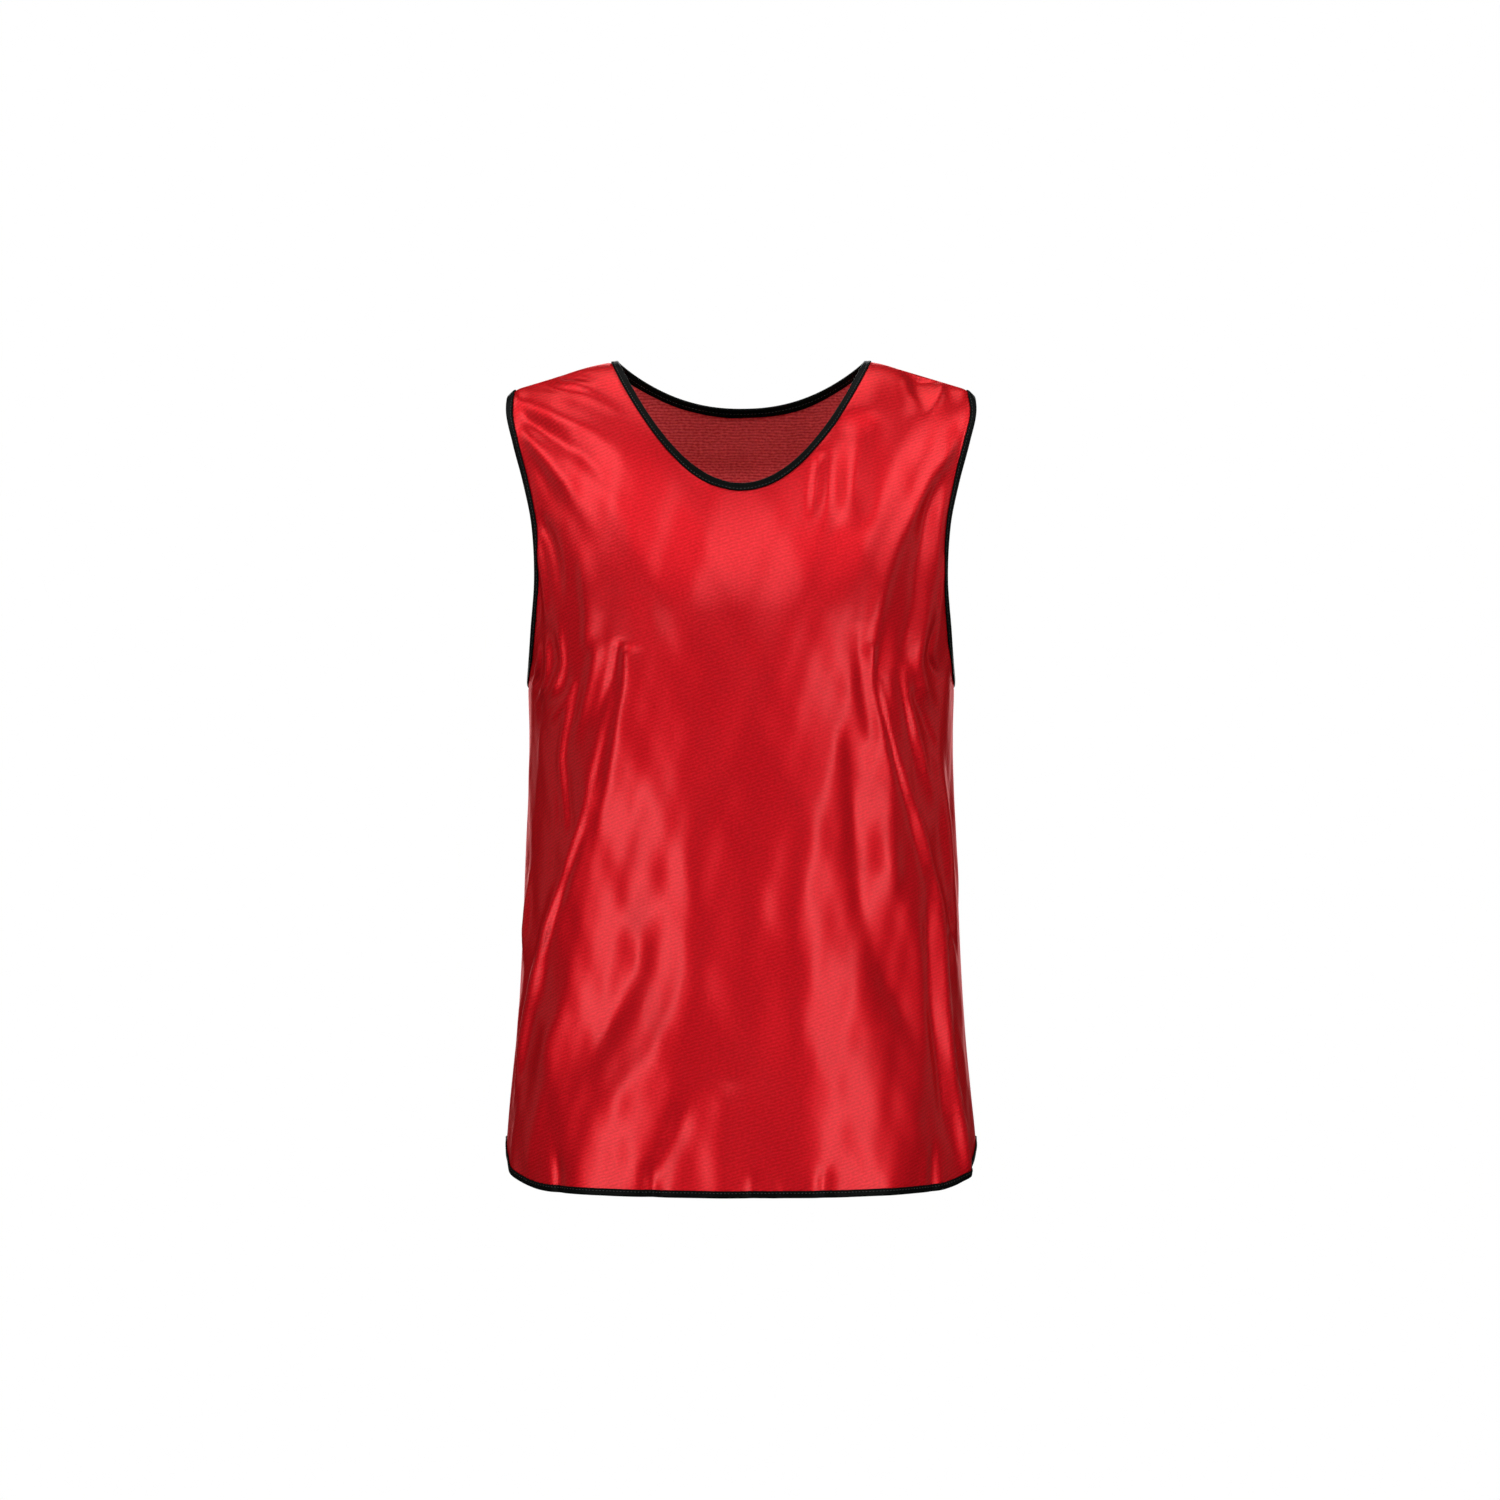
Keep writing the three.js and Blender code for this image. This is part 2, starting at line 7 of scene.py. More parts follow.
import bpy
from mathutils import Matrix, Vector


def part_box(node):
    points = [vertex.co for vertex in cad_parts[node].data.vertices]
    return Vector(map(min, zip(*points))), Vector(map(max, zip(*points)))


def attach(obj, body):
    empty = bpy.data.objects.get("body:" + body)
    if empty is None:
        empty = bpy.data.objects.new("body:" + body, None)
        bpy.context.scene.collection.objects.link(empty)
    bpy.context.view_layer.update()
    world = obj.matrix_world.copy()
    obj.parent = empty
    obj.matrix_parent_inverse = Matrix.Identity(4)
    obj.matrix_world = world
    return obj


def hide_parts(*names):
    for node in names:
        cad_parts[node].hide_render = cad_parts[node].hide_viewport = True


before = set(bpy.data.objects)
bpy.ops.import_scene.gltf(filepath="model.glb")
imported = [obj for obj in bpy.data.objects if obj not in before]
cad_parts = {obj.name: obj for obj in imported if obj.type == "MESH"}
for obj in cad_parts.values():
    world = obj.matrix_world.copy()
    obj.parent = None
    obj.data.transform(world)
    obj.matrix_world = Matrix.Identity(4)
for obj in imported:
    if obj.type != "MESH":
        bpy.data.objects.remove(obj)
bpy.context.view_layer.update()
print("the frame holds", sorted(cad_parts))

# %% [markdown]
# ## Measuring the bib
# A few sizes drive the whole shape. Cloth is measured in millimetres, as a cutter does, and turned into
# metres once, when a point is made. The front panel's length in the frame is read from it and printed.
# "Down" is the distance below the shoulder's neck end, and "across" is the distance round the cloth
# from the centre line.

# %% Driving sizes, in millimetres
import bpy
import math
import numpy as np
from collections import namedtuple

MM = 0.001
front_low, front_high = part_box("front_panel")

SIDE_SEAM_END = 655.0
HEM_BOTTOM = 686.5
UNDERARM = 268.0
NECK_HALF = 104.0
NECK_DROP = {"front": 110.0, "back": 34.7}
NECK_CURVE = {"front": 2.0, "back": 2.2}
SHOULDER_TIP = 195.3
SHOULDER_SLOPE = 0.3
SHOULDER_START = 111.0
SHOULDER_SOFTNESS = 5.0
TIP_START = 184.0
TIP_DROP = 4.5
QUARTER_GIRTH = 255.0
print("the front panel in the frame is", round((front_high[2] - front_low[2]) / MM), "mm long")

# %% [markdown]
# ## The worn shape
# A worn bib is a tube that closes over the shoulders. It could be sculpted, or wrapped round a figure,
# but a table of levels is easier to correct: each row gives half the width, the half width of the whole
# ring that the armholes are cut from, and how far the cloth stands in front of and behind the side seams.
# A smooth curve through the rows gives every level between them.

# %% The table of levels, and how it is read
Levels = namedtuple("Levels", "down half_width ring front back")
LEVELS = Levels(*np.array([
    (0, 194, 222, 112, 106),
    (40, 198.7, 219, 113, 109),
    (70, 192.2, 210, 115, 112),
    (105, 182.5, 200, 118, 115),
    (140, 175, 194, 121, 117),
    (185, 172.4, 189, 124, 118),
    (230, 176, 184, 125, 116),
    (268, 178.3, 178.3, 124, 113),
    (310, 177.5, 177.5, 122, 110),
    (360, 178, 178, 120, 107),
    (430, 181, 181, 117, 105),
    (510, 184.5, 184.5, 115, 106),
    (570, 188.3, 188.3, 115, 108),
    (620, 193.2, 193.2, 117, 111),
    (660, 197, 197, 119, 114),
    (700, 198, 198, 121, 117),
]).T)


def smooth(t):
    t = np.clip(t, 0, 1)
    return t * t * (3 - 2 * t)


def level(column, down):
    levels, values = LEVELS.down, getattr(LEVELS, column)
    before, after = np.r_[0, np.arange(len(levels) - 1)], np.r_[np.arange(1, len(levels)), len(levels) - 1]
    slopes = (values[after] - values[before]) / (levels[after] - levels[before])
    down = np.clip(down, levels[0], levels[-1])
    i = np.clip(np.searchsorted(levels, down), 1, len(levels) - 1)
    span = levels[i] - levels[i - 1]
    t = (down - levels[i - 1]) / span
    stay = 2 * t**3 - 3 * t**2 + 1
    ends = stay * values[i - 1] + (1 - stay) * values[i]
    return ends + span * ((t**3 - 2 * t**2 + t) * slopes[i - 1] + (t**3 - t**2) * slopes[i])


print("half the width at the underarm is", round(float(level("half_width", UNDERARM))), "mm")

# %% [markdown]
# Between the side seams each level is half of a squared oval, and towards the shoulder line the cloth
# rounds in like a roof. Both are powers of a distance, so one short formula gives the whole surface. The
# back is drawn as if it were a front too, and is turned round when it is finished.

# %% The plain surface of the cloth
SECTION_SIDE = 2.3
SHOULDER_ROUND = {"front": 215.0, "back": 185.0}
SHOULDER_POWER = {"front": 1.75, "back": 1.9}
ARMHOLE_CUT = 3.0
ARMHOLE_RISE = 15.0


def ridge_down(x):
    past_start = (np.abs(x) - SHOULDER_START) / SHOULDER_SOFTNESS
    past_tip = np.maximum(np.abs(x) - TIP_START, 0) / (SHOULDER_TIP - TIP_START)
    return SHOULDER_SLOPE * SHOULDER_SOFTNESS * np.log1p(np.exp(past_start)) + TIP_DROP * past_tip**2


def cloth_half_width(down):
    risen = np.maximum(UNDERARM - down, 0)
    return level("half_width", down) - ARMHOLE_CUT * (1 - np.exp(-risen / ARMHOLE_RISE))


def plain_cloth(panel, x, down):
    outwards = np.minimum(np.abs(x) / np.maximum(level("ring", down), level("half_width", down)), 1)
    ring = np.sqrt(1 - outwards**SECTION_SIDE)
    below = np.clip((down - ridge_down(x)) / SHOULDER_ROUND[panel], 0, 1)
    power = SHOULDER_POWER[panel]
    roof = (1 - (1 - below) ** power) ** (1 / power)
    return np.stack([x, -level(panel, down) * ring * roof, -down], axis=-1)


def plain_normal(panel, x, down):
    across = plain_cloth(panel, x + 1, down) - plain_cloth(panel, x - 1, down)
    up = plain_cloth(panel, x, down - 1) - plain_cloth(panel, x, down + 1)
    return np.cross(across, up)


# %% [markdown]
# ## The bound edges
# The neckline, the armholes and the hem are each a curve on that surface, and each carries tape. So each
# edge is kept as two rows of points: the edge itself, and the tip that the tape reaches on the cloth. The
# tip lies square to the edge, along the cloth.

# %% Bound edges: points on the edge, and points at the tip of the tape
HALF_COLUMNS, NECK_COLUMNS = 108, 46
BODY_ROWS, ARMHOLE_ROWS = 130, 92
TOP_ROW = BODY_ROWS + ARMHOLE_ROWS
TAPE_COVER = {"neck": 6.2, "armhole": 5.4, "hem": 4.6}
TAIL_CORNER = 100.0
TAIL_ARCH = 9.0
OUTWARDS, FORWARDS, REARWARDS = np.array([1.0, 0, 0]), np.array([0, -1.0, 0]), np.array([0, 1.0, 0])


def bound_edge(panel, x, down, cover, first_way, last_way):
    edge = plain_cloth(panel, x, down)
    along = np.empty_like(edge)
    along[1:-1] = edge[2:] - edge[:-2]
    along[0], along[-1] = first_way, last_way
    normal = plain_normal(panel, x, down)
    normal[(along[:, 0] == 0) & (along[:, 2] == 0), 1] = 0
    inwards = np.cross(along, normal)
    return edge, edge + cover * inwards / np.linalg.norm(inwards, axis=1, keepdims=True)


def neckline(panel):
    x = NECK_HALF * np.sin(np.linspace(0, math.pi / 2, NECK_COLUMNS + 1))
    start = ridge_down(NECK_HALF)
    down = start + (NECK_DROP[panel] - start) * (1 - (x / NECK_HALF) ** NECK_CURVE[panel])
    return bound_edge(panel, x, down, TAPE_COVER["neck"], OUTWARDS, REARWARDS)


def armhole(panel):
    crowded = (1 - np.cos(np.linspace(math.pi, 0, ARMHOLE_ROWS + 1))) / 2
    down = UNDERARM + (ridge_down(SHOULDER_TIP) - UNDERARM) * crowded
    x = cloth_half_width(down)
    x[0] = SHOULDER_TIP
    edge, tip = bound_edge(panel, x, down, TAPE_COVER["armhole"], FORWARDS, REARWARDS)
    return edge[::-1], tip[::-1]


def hem_down(share):
    from_seam = np.hypot((1 - share) * QUARTER_GIRTH, TAIL_ARCH) - TAIL_ARCH
    corner = np.maximum(0, 1 - from_seam / TAIL_CORNER)
    return HEM_BOTTOM - (HEM_BOTTOM - SIDE_SEAM_END) * corner**2


def hemline(panel):
    share = np.linspace(1, 0, HALF_COLUMNS + 1)
    down = hem_down(share)
    x = cloth_half_width(down) * np.sin(share * math.pi / 2)
    edge, tip = bound_edge(panel, x, down, TAPE_COVER["hem"], FORWARDS, -OUTWARDS)
    return edge[::-1], tip[::-1]


# %% [markdown]
# ## Filling in a panel
# A cutter lays the panel out as a grid: rows from the hem up, columns from the centre to the side seam.
# Rows crowd together at the underarm and the shoulder, where the edge turns quickest. The hem's, the
# neckline's and the armhole's own points close the grid, with one more strip of cells under each tape.

# %% The grid of a panel
ROWS, COLUMNS = TOP_ROW + 3, 2 * HALF_COLUMNS + 3
FIRST_ROW, CENTRE = 1, HALF_COLUMNS + 1


def half_panel(panel):
    neck_edge, neck_tip = neckline(panel)
    arm_edge, arm_tip = armhole(panel)
    hem_edge, hem_tip = hemline(panel)
    top = np.empty((HALF_COLUMNS + 1, 3))
    top[: NECK_COLUMNS + 1] = neck_tip
    x = np.linspace(neck_tip[-1, 0], arm_tip[-1, 0], HALF_COLUMNS - NECK_COLUMNS + 1)
    top[NECK_COLUMNS:] = np.stack([x, 0 * x, -ridge_down(x)], axis=-1)
    side = np.empty((TOP_ROW + 1, 3))
    side_z = np.linspace(hem_tip[-1, 2], arm_tip[0, 2], BODY_ROWS + 1)
    side[: BODY_ROWS + 1] = np.stack([cloth_half_width(-side_z), 0 * side_z, side_z], axis=-1)
    side[BODY_ROWS:] = arm_tip
    at_side = (side[:, 2] - side[0, 2]) / (side[-1, 2] - side[0, 2])
    rows = np.arange(TOP_ROW + 1)
    above = np.interp(rows, [BODY_ROWS, TOP_ROW], [at_side[BODY_ROWS], 1])
    even = np.where(rows <= BODY_ROWS, at_side, above)
    columns = np.arange(HALF_COLUMNS + 1)
    crowding = np.minimum(columns / NECK_COLUMNS, 1) ** 2
    up = even[:, None] + (at_side - even)[:, None] * crowding
    down = -(hem_tip[:, 2] + up * (top[:, 2] - hem_tip[:, 2]))
    body_reach = np.sin(columns / HALF_COLUMNS * math.pi / 2)
    top_reach = top[:, 0] / cloth_half_width(-top[:, 2])
    reach = body_reach + (top_reach - body_reach) * smooth(2 * up - 1)
    x = cloth_half_width(down) * reach
    x += (side[:, 0] - x[:, -1])[:, None] * (columns / HALF_COLUMNS) ** 4
    grid = np.full((ROWS, HALF_COLUMNS + 2, 3), np.nan)
    grid[1:-1, :-1] = plain_cloth(panel, x, down)
    grid[1, :-1], grid[-2, :-1], grid[1:-1, -2] = hem_tip, top, side
    grid[0, :-1] = hem_edge
    grid[-1, : NECK_COLUMNS + 1] = neck_edge
    grid[FIRST_ROW + BODY_ROWS : -1, -1] = arm_edge
    return grid


def whole_panel(panel):
    half = half_panel(panel)
    return np.concatenate([half[:, :0:-1] * (-1, 1, 1), half], axis=1)


plain = {panel: whole_panel(panel) for panel in ("front", "back")}
print("each panel is a grid of", ROWS, "by", COLUMNS)

# %% [markdown]
# A tape lies off the folded cloth along the cloth's normal, which comes from a point's neighbours in the
# grid. On a seam the two panels face each other, so the normal has no part towards the front or the back
# there.

# %% Normals of a grid, and where its seams are
steps_out = np.abs(np.arange(COLUMNS) - CENTRE)
row_of, column_of = np.meshgrid(np.arange(ROWS) - FIRST_ROW, steps_out, indexing="ij")
on_side_seam = (column_of == HALF_COLUMNS) & (row_of <= BODY_ROWS)
on_side_seam |= (column_of > HALF_COLUMNS) & (row_of == BODY_ROWS)
on_shoulder = (row_of == TOP_ROW) & (column_of >= NECK_COLUMNS)
on_shoulder |= (row_of > TOP_ROW) & (column_of == NECK_COLUMNS)
on_seam = on_side_seam | on_shoulder


def grid_normals(grid):
    padded = np.full((ROWS + 2, COLUMNS + 2, 3), np.nan)
    padded[1:-1, 1:-1] = grid
    pick = lambda part: np.where(np.isnan(part), grid, part)
    across = pick(padded[1:-1, 2:]) - pick(padded[1:-1, :-2])
    up = pick(padded[2:, 1:-1]) - pick(padded[:-2, 1:-1])
    normals = np.cross(across, up)
    normals[on_seam, 1] = 0
    return normals / np.linalg.norm(normals, axis=-1, keepdims=True)


# %% [markdown]
# ## Folds
# Light satin that is worn hangs from the two fullest points of the chest, and is pulled from the shoulder
# tips and the underarms. A cloth simulation could find folds of its own, but these have to be particular
# ones, so they are listed one by one. Each is a line on the panel with a width, a height (a trough has a
# negative one), a lean that makes its left or right side steeper, and a head and tail over which it
# comes and goes.

# %% The front's folds
Fold = namedtuple("Fold", "path width lift lean head tail")
FRONT_FOLDS = [
    # the long fold that falls from the right chest point to the edge of the hem
    Fold(((-85, 239), (-89, 277), (-99, 330), (-110, 376), (-126, 437)), 7, 2.0, -0.7, 0.08, 0.5),
    Fold(((-84, 200), (-87, 262), (-96, 330), (-110, 395)), 32, 4.8, 0.5, 0.35, 0.45),
    Fold(((-96, 262), (-105, 300), (-113, 335), (-128, 383)), 4.5, -1.0, 0.0, 0.2, 0.3),
    Fold(((-120, 370), (-148, 434), (-168, 482), (-182, 509)), 5, -2.2, 0.0, 0.3, 0.3),
    Fold(((-99, 264), (-106, 301), (-117, 335), (-127, 368)), 3.5, 0.5, 0.0, 0.2, 0.4),
    Fold(((-120, 350), (-134, 388), (-150, 428), (-165, 458)), 5, 1.2, 0.0, 0.2, 0.4),
    Fold(((-149, 428), (-172, 477), (-193, 529), (-208, 572), (-220, 640)), 8, 5.8, 0.0, 0.25, 0.3),
    Fold(((-209, 410), (-213, 449), (-217, 479), (-225, 512)), 8, 4.8, 0.0, 0.4, 0.4),
    Fold(((-200, 590), (-204, 640), (-206, 720)), 12, 2.6, 0.0, 0.4, 0.1),
    # the loop beside it
    Fold(((-91, 236), (-98, 262), (-108, 286), (-122, 322)), 4.5, -1.5, 0.0, 0.1, 0.4),
    Fold(((-106, 232), (-117, 257), (-126, 281), (-134, 301), (-142, 322)), 7, 2.3, 0.0, 0.2, 0.4),
    Fold(((-126, 260), (-141, 293), (-153, 330), (-151, 349), (-142, 394)), 4, -1.0, 0.0, 0.4, 0.1),
    Fold(((-132, 258), (-149, 291), (-161, 330), (-159, 349), (-151, 396)), 4, 1.0, 0.0, 0.4, 0.1),
    # arcs that the right underarm pulls
    Fold(((-153, 222), (-151, 247), (-156, 262), (-170, 278), (-202, 296)), 4, 2.2, 0.0, 0.2, 0.35),
    Fold(((-169, 230), (-174, 256), (-186, 274), (-214, 290)), 4.5, 2.8, 0.0, 0.2, 0.35),
    Fold(((-138, 266), (-149, 282), (-168, 296), (-200, 312)), 4, 1.3, 0.0, 0.2, 0.35),
    Fold(((-184, 236), (-194, 256), (-220, 276)), 4.5, 3.0, 0.0, 0.3, 0.4),
    # the right armhole
    Fold(((-123, 155), (-120, 189), (-119, 223), (-124, 250)), 9, 2.8, -0.6, 0.5, 0.3),
    Fold(((-169, 132), (-154, 154), (-147, 184), (-147, 213)), 6, -2.4, 0.0, 0.2, 0.4),
    Fold(((-180, 140), (-170, 172), (-168, 204), (-174, 228)), 5, 2.4, 0.0, 0.3, 0.4),
    Fold(((-186, 148), (-180, 190), (-186, 224)), 4.5, 1.8, 0.0, 0.4, 0.4),
    # the long fold that falls from the left chest point
    Fold(((90, 222), (94, 262), (101, 300), (108, 326)), 11, -2.0, -0.6, 0.25, 0.4),
    Fold(((100, 238), (104, 262), (108, 282), (118, 322), (126, 350), (139, 392)), 5, 1.3, 0.7, 0.06, 0.4),
    Fold(((105, 248), (111, 280), (120, 314), (138, 369), (158, 428), (166, 457)), 3, -1.0, 0.0, 0.15, 0.3),
    Fold(((102, 240), (107, 262), (114, 282), (130, 330), (142, 352)), 3, 0.8, 0.2, 0.08, 0.4),
    Fold(((119, 302), (147, 364), (171, 423), (196, 478), (218, 502)), 4.4, 1.7, 0.0, 0.35, 0.25),
    # the shorter fold beside it
    Fold(((120, 260), (122, 276), (128, 298)), 4, 0.5, 0.0, 0.3, 0.5),
    Fold(((127, 252), (143, 306), (155, 359)), 5, -1.4, 0.0, 0.2, 0.4),
    Fold(((133, 262), (143, 286), (149, 301), (160, 322), (168, 345), (180, 378)), 5, 2.0, 0.0, 0.35, 0.35),
    Fold(((145, 276), (160, 296), (194, 340)), 5, -1.6, 0.0, 0.3, 0.4),
    # the left armhole
    Fold(((164, 63), (155, 89), (134, 127), (115, 170), (103, 224), (102, 262)), 8, 2.4, 0.3, 0.2, 0.15),
    Fold(((154, 84), (147, 134), (143, 169), (141, 204), (133, 243), (133, 268)), 8, -2.6, 0.0, 0.2, 0.25),
    Fold(((165, 104), (163, 139), (162, 169), (164, 206)), 6, 1.5, 0.0, 0.3, 0.4),
    Fold(((160, 198), (153, 234), (154, 257), (171, 279), (198, 304)), 8, 3.4, 0.0, 0.3, 0.35),
    Fold(((176, 207), (164, 242), (176, 259), (204, 271)), 5, -2.2, 0.0, 0.3, 0.4),
    Fold(((178, 150), (172, 190), (176, 230)), 5, 1.6, 0.0, 0.3, 0.4),
    # from the neckline and the left shoulder
    Fold(((52, 84), (51, 108), (50, 142)), 4, -2.2, 0.0, 0.2, 0.4),
    Fold(((61, 58), (60, 102), (62, 156)), 9, 1.4, 0.0, 0.3, 0.4),
    Fold(((76, 45), (77, 96), (80, 156)), 12, -4.2, 0.0, 0.25, 0.4),
    Fold(((122, 2), (121, 20), (119, 50)), 12, -4.8, 0.0, 0.3, 0.5),
    Fold(((108, 12), (113, 30), (122, 46)), 4.5, 1.4, 0.0, 0.3, 0.4),
    Fold(((141, 15), (137, 31), (128, 50)), 4.5, 1.4, 0.0, 0.3, 0.4),
    # rays from the right shoulder tip
    Fold(((-174, 28), (-125, 50), (-101, 64), (-75, 97)), 9, 2.4, -0.2, 0.1, 0.5),
    Fold(((-165, 48), (-127, 73), (-108, 88), (-88, 124)), 8, -2.2, 0.0, 0.15, 0.4),
    Fold(((-168, 56), (-143, 91), (-129, 112), (-105, 157)), 9, 2.7, -0.2, 0.15, 0.5),
    Fold(((-165, 80), (-150, 112), (-138, 140)), 8, -1.2, 0.0, 0.3, 0.4),
    Fold(((-150, 20), (-120, 26), (-97, 34), (-69, 54)), 4.5, -1.8, 0.0, 0.2, 0.5),
    Fold(((-128, 21), (-108, 22), (-90, 28)), 3.5, 1.4, 0.0, 0.3, 0.5),
    Fold(((-125, 15), (-106, 16), (-92, 19)), 3.5, -1.6, 0.0, 0.3, 0.5),
    # the broad falls below the chest, first the left side's
    Fold(((40, 253), (44, 416), (45, 493), (48, 676), (50, 740)), 24, 4.4, 0.0, 0.25, 0.1),
    Fold(((82, 301), (88, 340), (90, 378), (92, 426), (96, 466)), 15, -3.6, -0.5, 0.25, 0.4),
    Fold(((96, 425), (101, 475), (114, 509), (136, 548), (156, 600)), 24, -5.2, -0.6, 0.2, 0.35),
    Fold(((122, 345), (122, 400), (125, 465)), 11, 1.7, 0.4, 0.3, 0.5),
    Fold(((92, 555), (98, 620), (102, 720)), 22, 2.8, 0.2, 0.35, 0.1),
    Fold(((186, 325), (199, 385), (206, 440), (212, 500)), 12, 6.0, 0.0, 0.4, 0.5),
    Fold(((160, 428), (163, 477), (163, 520), (166, 560), (168, 610), (172, 662)), 7, -2.6, 0.0, 0.25, 0.3),
    Fold(((172, 428), (184, 477), (184, 517), (189, 595), (196, 665), (200, 700)), 8, 5.0, 0.2, 0.2, 0.2),
    Fold(((192, 445), (206, 478), (230, 505)), 6, -1.8, 0.0, 0.4, 0.4),
    # then the right side's
    Fold(((-38, 330), (-36, 436), (-39, 513), (-68, 581), (-118, 645)), 15, 3.0, -0.2, 0.2, 0.25),
    Fold(((-72, 424), (-79, 475), (-86, 510), (-106, 553), (-141, 612)), 22, -7.4, 0.4, 0.3, 0.3),
    Fold(((-146, 530), (-164, 565), (-180, 600)), 10, 1.6, 0.0, 0.4, 0.4),
    Fold(((-28, 585), (-43, 632), (-58, 672), (-66, 740)), 9, -2.6, 0.0, 0.35, 0.1),
    Fold(((-6, 590), (-12, 635), (-20, 740)), 11, 2.6, 0.0, 0.35, 0.1),
    Fold(((10, 300), (4, 460), (14, 620)), 26, -3.0, 0.0, 0.4, 0.4),
    # dents where the hem's tape is pulled tight
    Fold(((-143, 650), (-140, 674), (-138, 700)), 5, -2.4, 0.0, 0.5, 0.1),
    Fold(((-64, 655), (-62, 676), (-61, 700)), 5, -2.0, 0.0, 0.5, 0.1),
    Fold(((9, 662), (8, 680), (8, 700)), 4, -1.8, 0.0, 0.5, 0.1),
    Fold(((22, 665), (22, 682), (22, 700)), 4, 1.6, 0.0, 0.5, 0.1),
    Fold(((57, 656), (56, 678), (56, 700)), 5, -2.0, 0.0, 0.5, 0.1),
    Fold(((152, 640), (150, 668), (149, 700)), 5, -2.2, 0.0, 0.5, 0.1),
]
print(len(FRONT_FOLDS), "folds on the front")

# %% [markdown]
# The back hangs from the shoulder blades in long uneven falls, with a shallow sag below the neck and the
# same pull at the underarms.

# %% The back's folds
BACK_FOLDS = [
    Fold(((-108, 190), (-120, 330), (-132, 500), (-150, 740)), 20, 5.2, 0.3, 0.2, 0.1),
    Fold(((-88, 225), (-92, 360), (-98, 540)), 10, -3.6, 0.0, 0.2, 0.4),
    Fold(((-62, 250), (-66, 430), (-74, 740)), 15, 4.0, -0.2, 0.3, 0.1),
    Fold(((-40, 330), (-42, 500), (-46, 740)), 12, -3.6, 0.0, 0.4, 0.1),
    Fold(((-14, 270), (-18, 440), (-14, 740)), 18, 3.8, 0.2, 0.4, 0.1),
    Fold(((22, 260), (24, 420), (34, 740)), 15, -4.2, 0.0, 0.3, 0.1),
    Fold(((58, 235), (60, 400), (66, 740)), 14, 4.6, 0.3, 0.3, 0.1),
    Fold(((84, 300), (88, 420), (96, 560)), 10, -3.4, 0.0, 0.3, 0.4),
    Fold(((112, 195), (122, 360), (130, 740)), 18, 5.4, -0.3, 0.2, 0.1),
    Fold(((150, 330), (158, 480), (164, 740)), 13, -4.2, 0.0, 0.4, 0.1),
    Fold(((-160, 360), (-168, 520), (-180, 740)), 13, -4.0, 0.0, 0.4, 0.1),
    Fold(((186, 430), (192, 560), (198, 720)), 12, 3.8, 0.0, 0.4, 0.2),
    Fold(((-200, 470), (-206, 580), (-214, 720)), 12, 3.6, 0.0, 0.4, 0.2),
    Fold(((-158, 228), (-172, 270), (-206, 330)), 7, 3.4, 0.0, 0.3, 0.6),
    Fold(((-140, 236), (-156, 290), (-188, 372)), 6, -3.0, 0.0, 0.3, 0.6),
    Fold(((160, 226), (176, 276), (208, 345)), 7, 3.4, 0.0, 0.3, 0.6),
    Fold(((142, 240), (156, 300), (182, 390)), 6, -3.0, 0.0, 0.3, 0.6),
    Fold(((-56, 66), (-14, 88), (36, 74)), 11, 2.4, 0.0, 0.4, 0.4),
    Fold(((-44, 92), (4, 108), (52, 94)), 12, -2.2, 0.0, 0.4, 0.4),
    Fold(((-166, 46), (-124, 96), (-92, 180)), 12, 3.0, 0.0, 0.2, 0.5),
    Fold(((-164, 74), (-142, 130), (-118, 200)), 9, -2.6, 0.0, 0.3, 0.5),
    Fold(((168, 44), (128, 100), (98, 176)), 12, 3.0, 0.0, 0.2, 0.5),
    Fold(((166, 80), (146, 128), (124, 204)), 9, -2.6, 0.0, 0.3, 0.5),
    Fold(((-118, 655), (-116, 678), (-115, 700)), 5, -2.0, 0.0, 0.5, 0.1),
    Fold(((-30, 660), (-30, 680), (-30, 700)), 5, -1.8, 0.0, 0.5, 0.1),
    Fold(((40, 655), (41, 678), (42, 700)), 5, -2.0, 0.0, 0.5, 0.1),
    Fold(((128, 650), (127, 676), (127, 700)), 5, -2.0, 0.0, 0.5, 0.1),
]
print(len(BACK_FOLDS), "folds on the back")

# %% [markdown]
# A fold's line is a smooth curve through its few points. Its height at any place depends on how far the
# place is from the line, and how far along the line the nearest point is.

# %% How high the folds stand
SPINE_STEPS = 8
FOLD_REACH = 4.0
LEAN_SHARE = 0.6


def spine(path):
    stops = np.array([path[0], *path, path[-1]], dtype=float)
    points = []
    for i in range(1, len(stops) - 2):
        a, b, c, d = stops[i - 1 : i + 3]
        for t in np.arange(SPINE_STEPS) / SPINE_STEPS:
            curve = 2 * b + (c - a) * t
            curve = curve + (2 * a - 5 * b + 4 * c - d) * t**2 + (3 * b - a - 3 * c + d) * t**3
            points.append(curve / 2)
    return np.array([*points, stops[-1]])


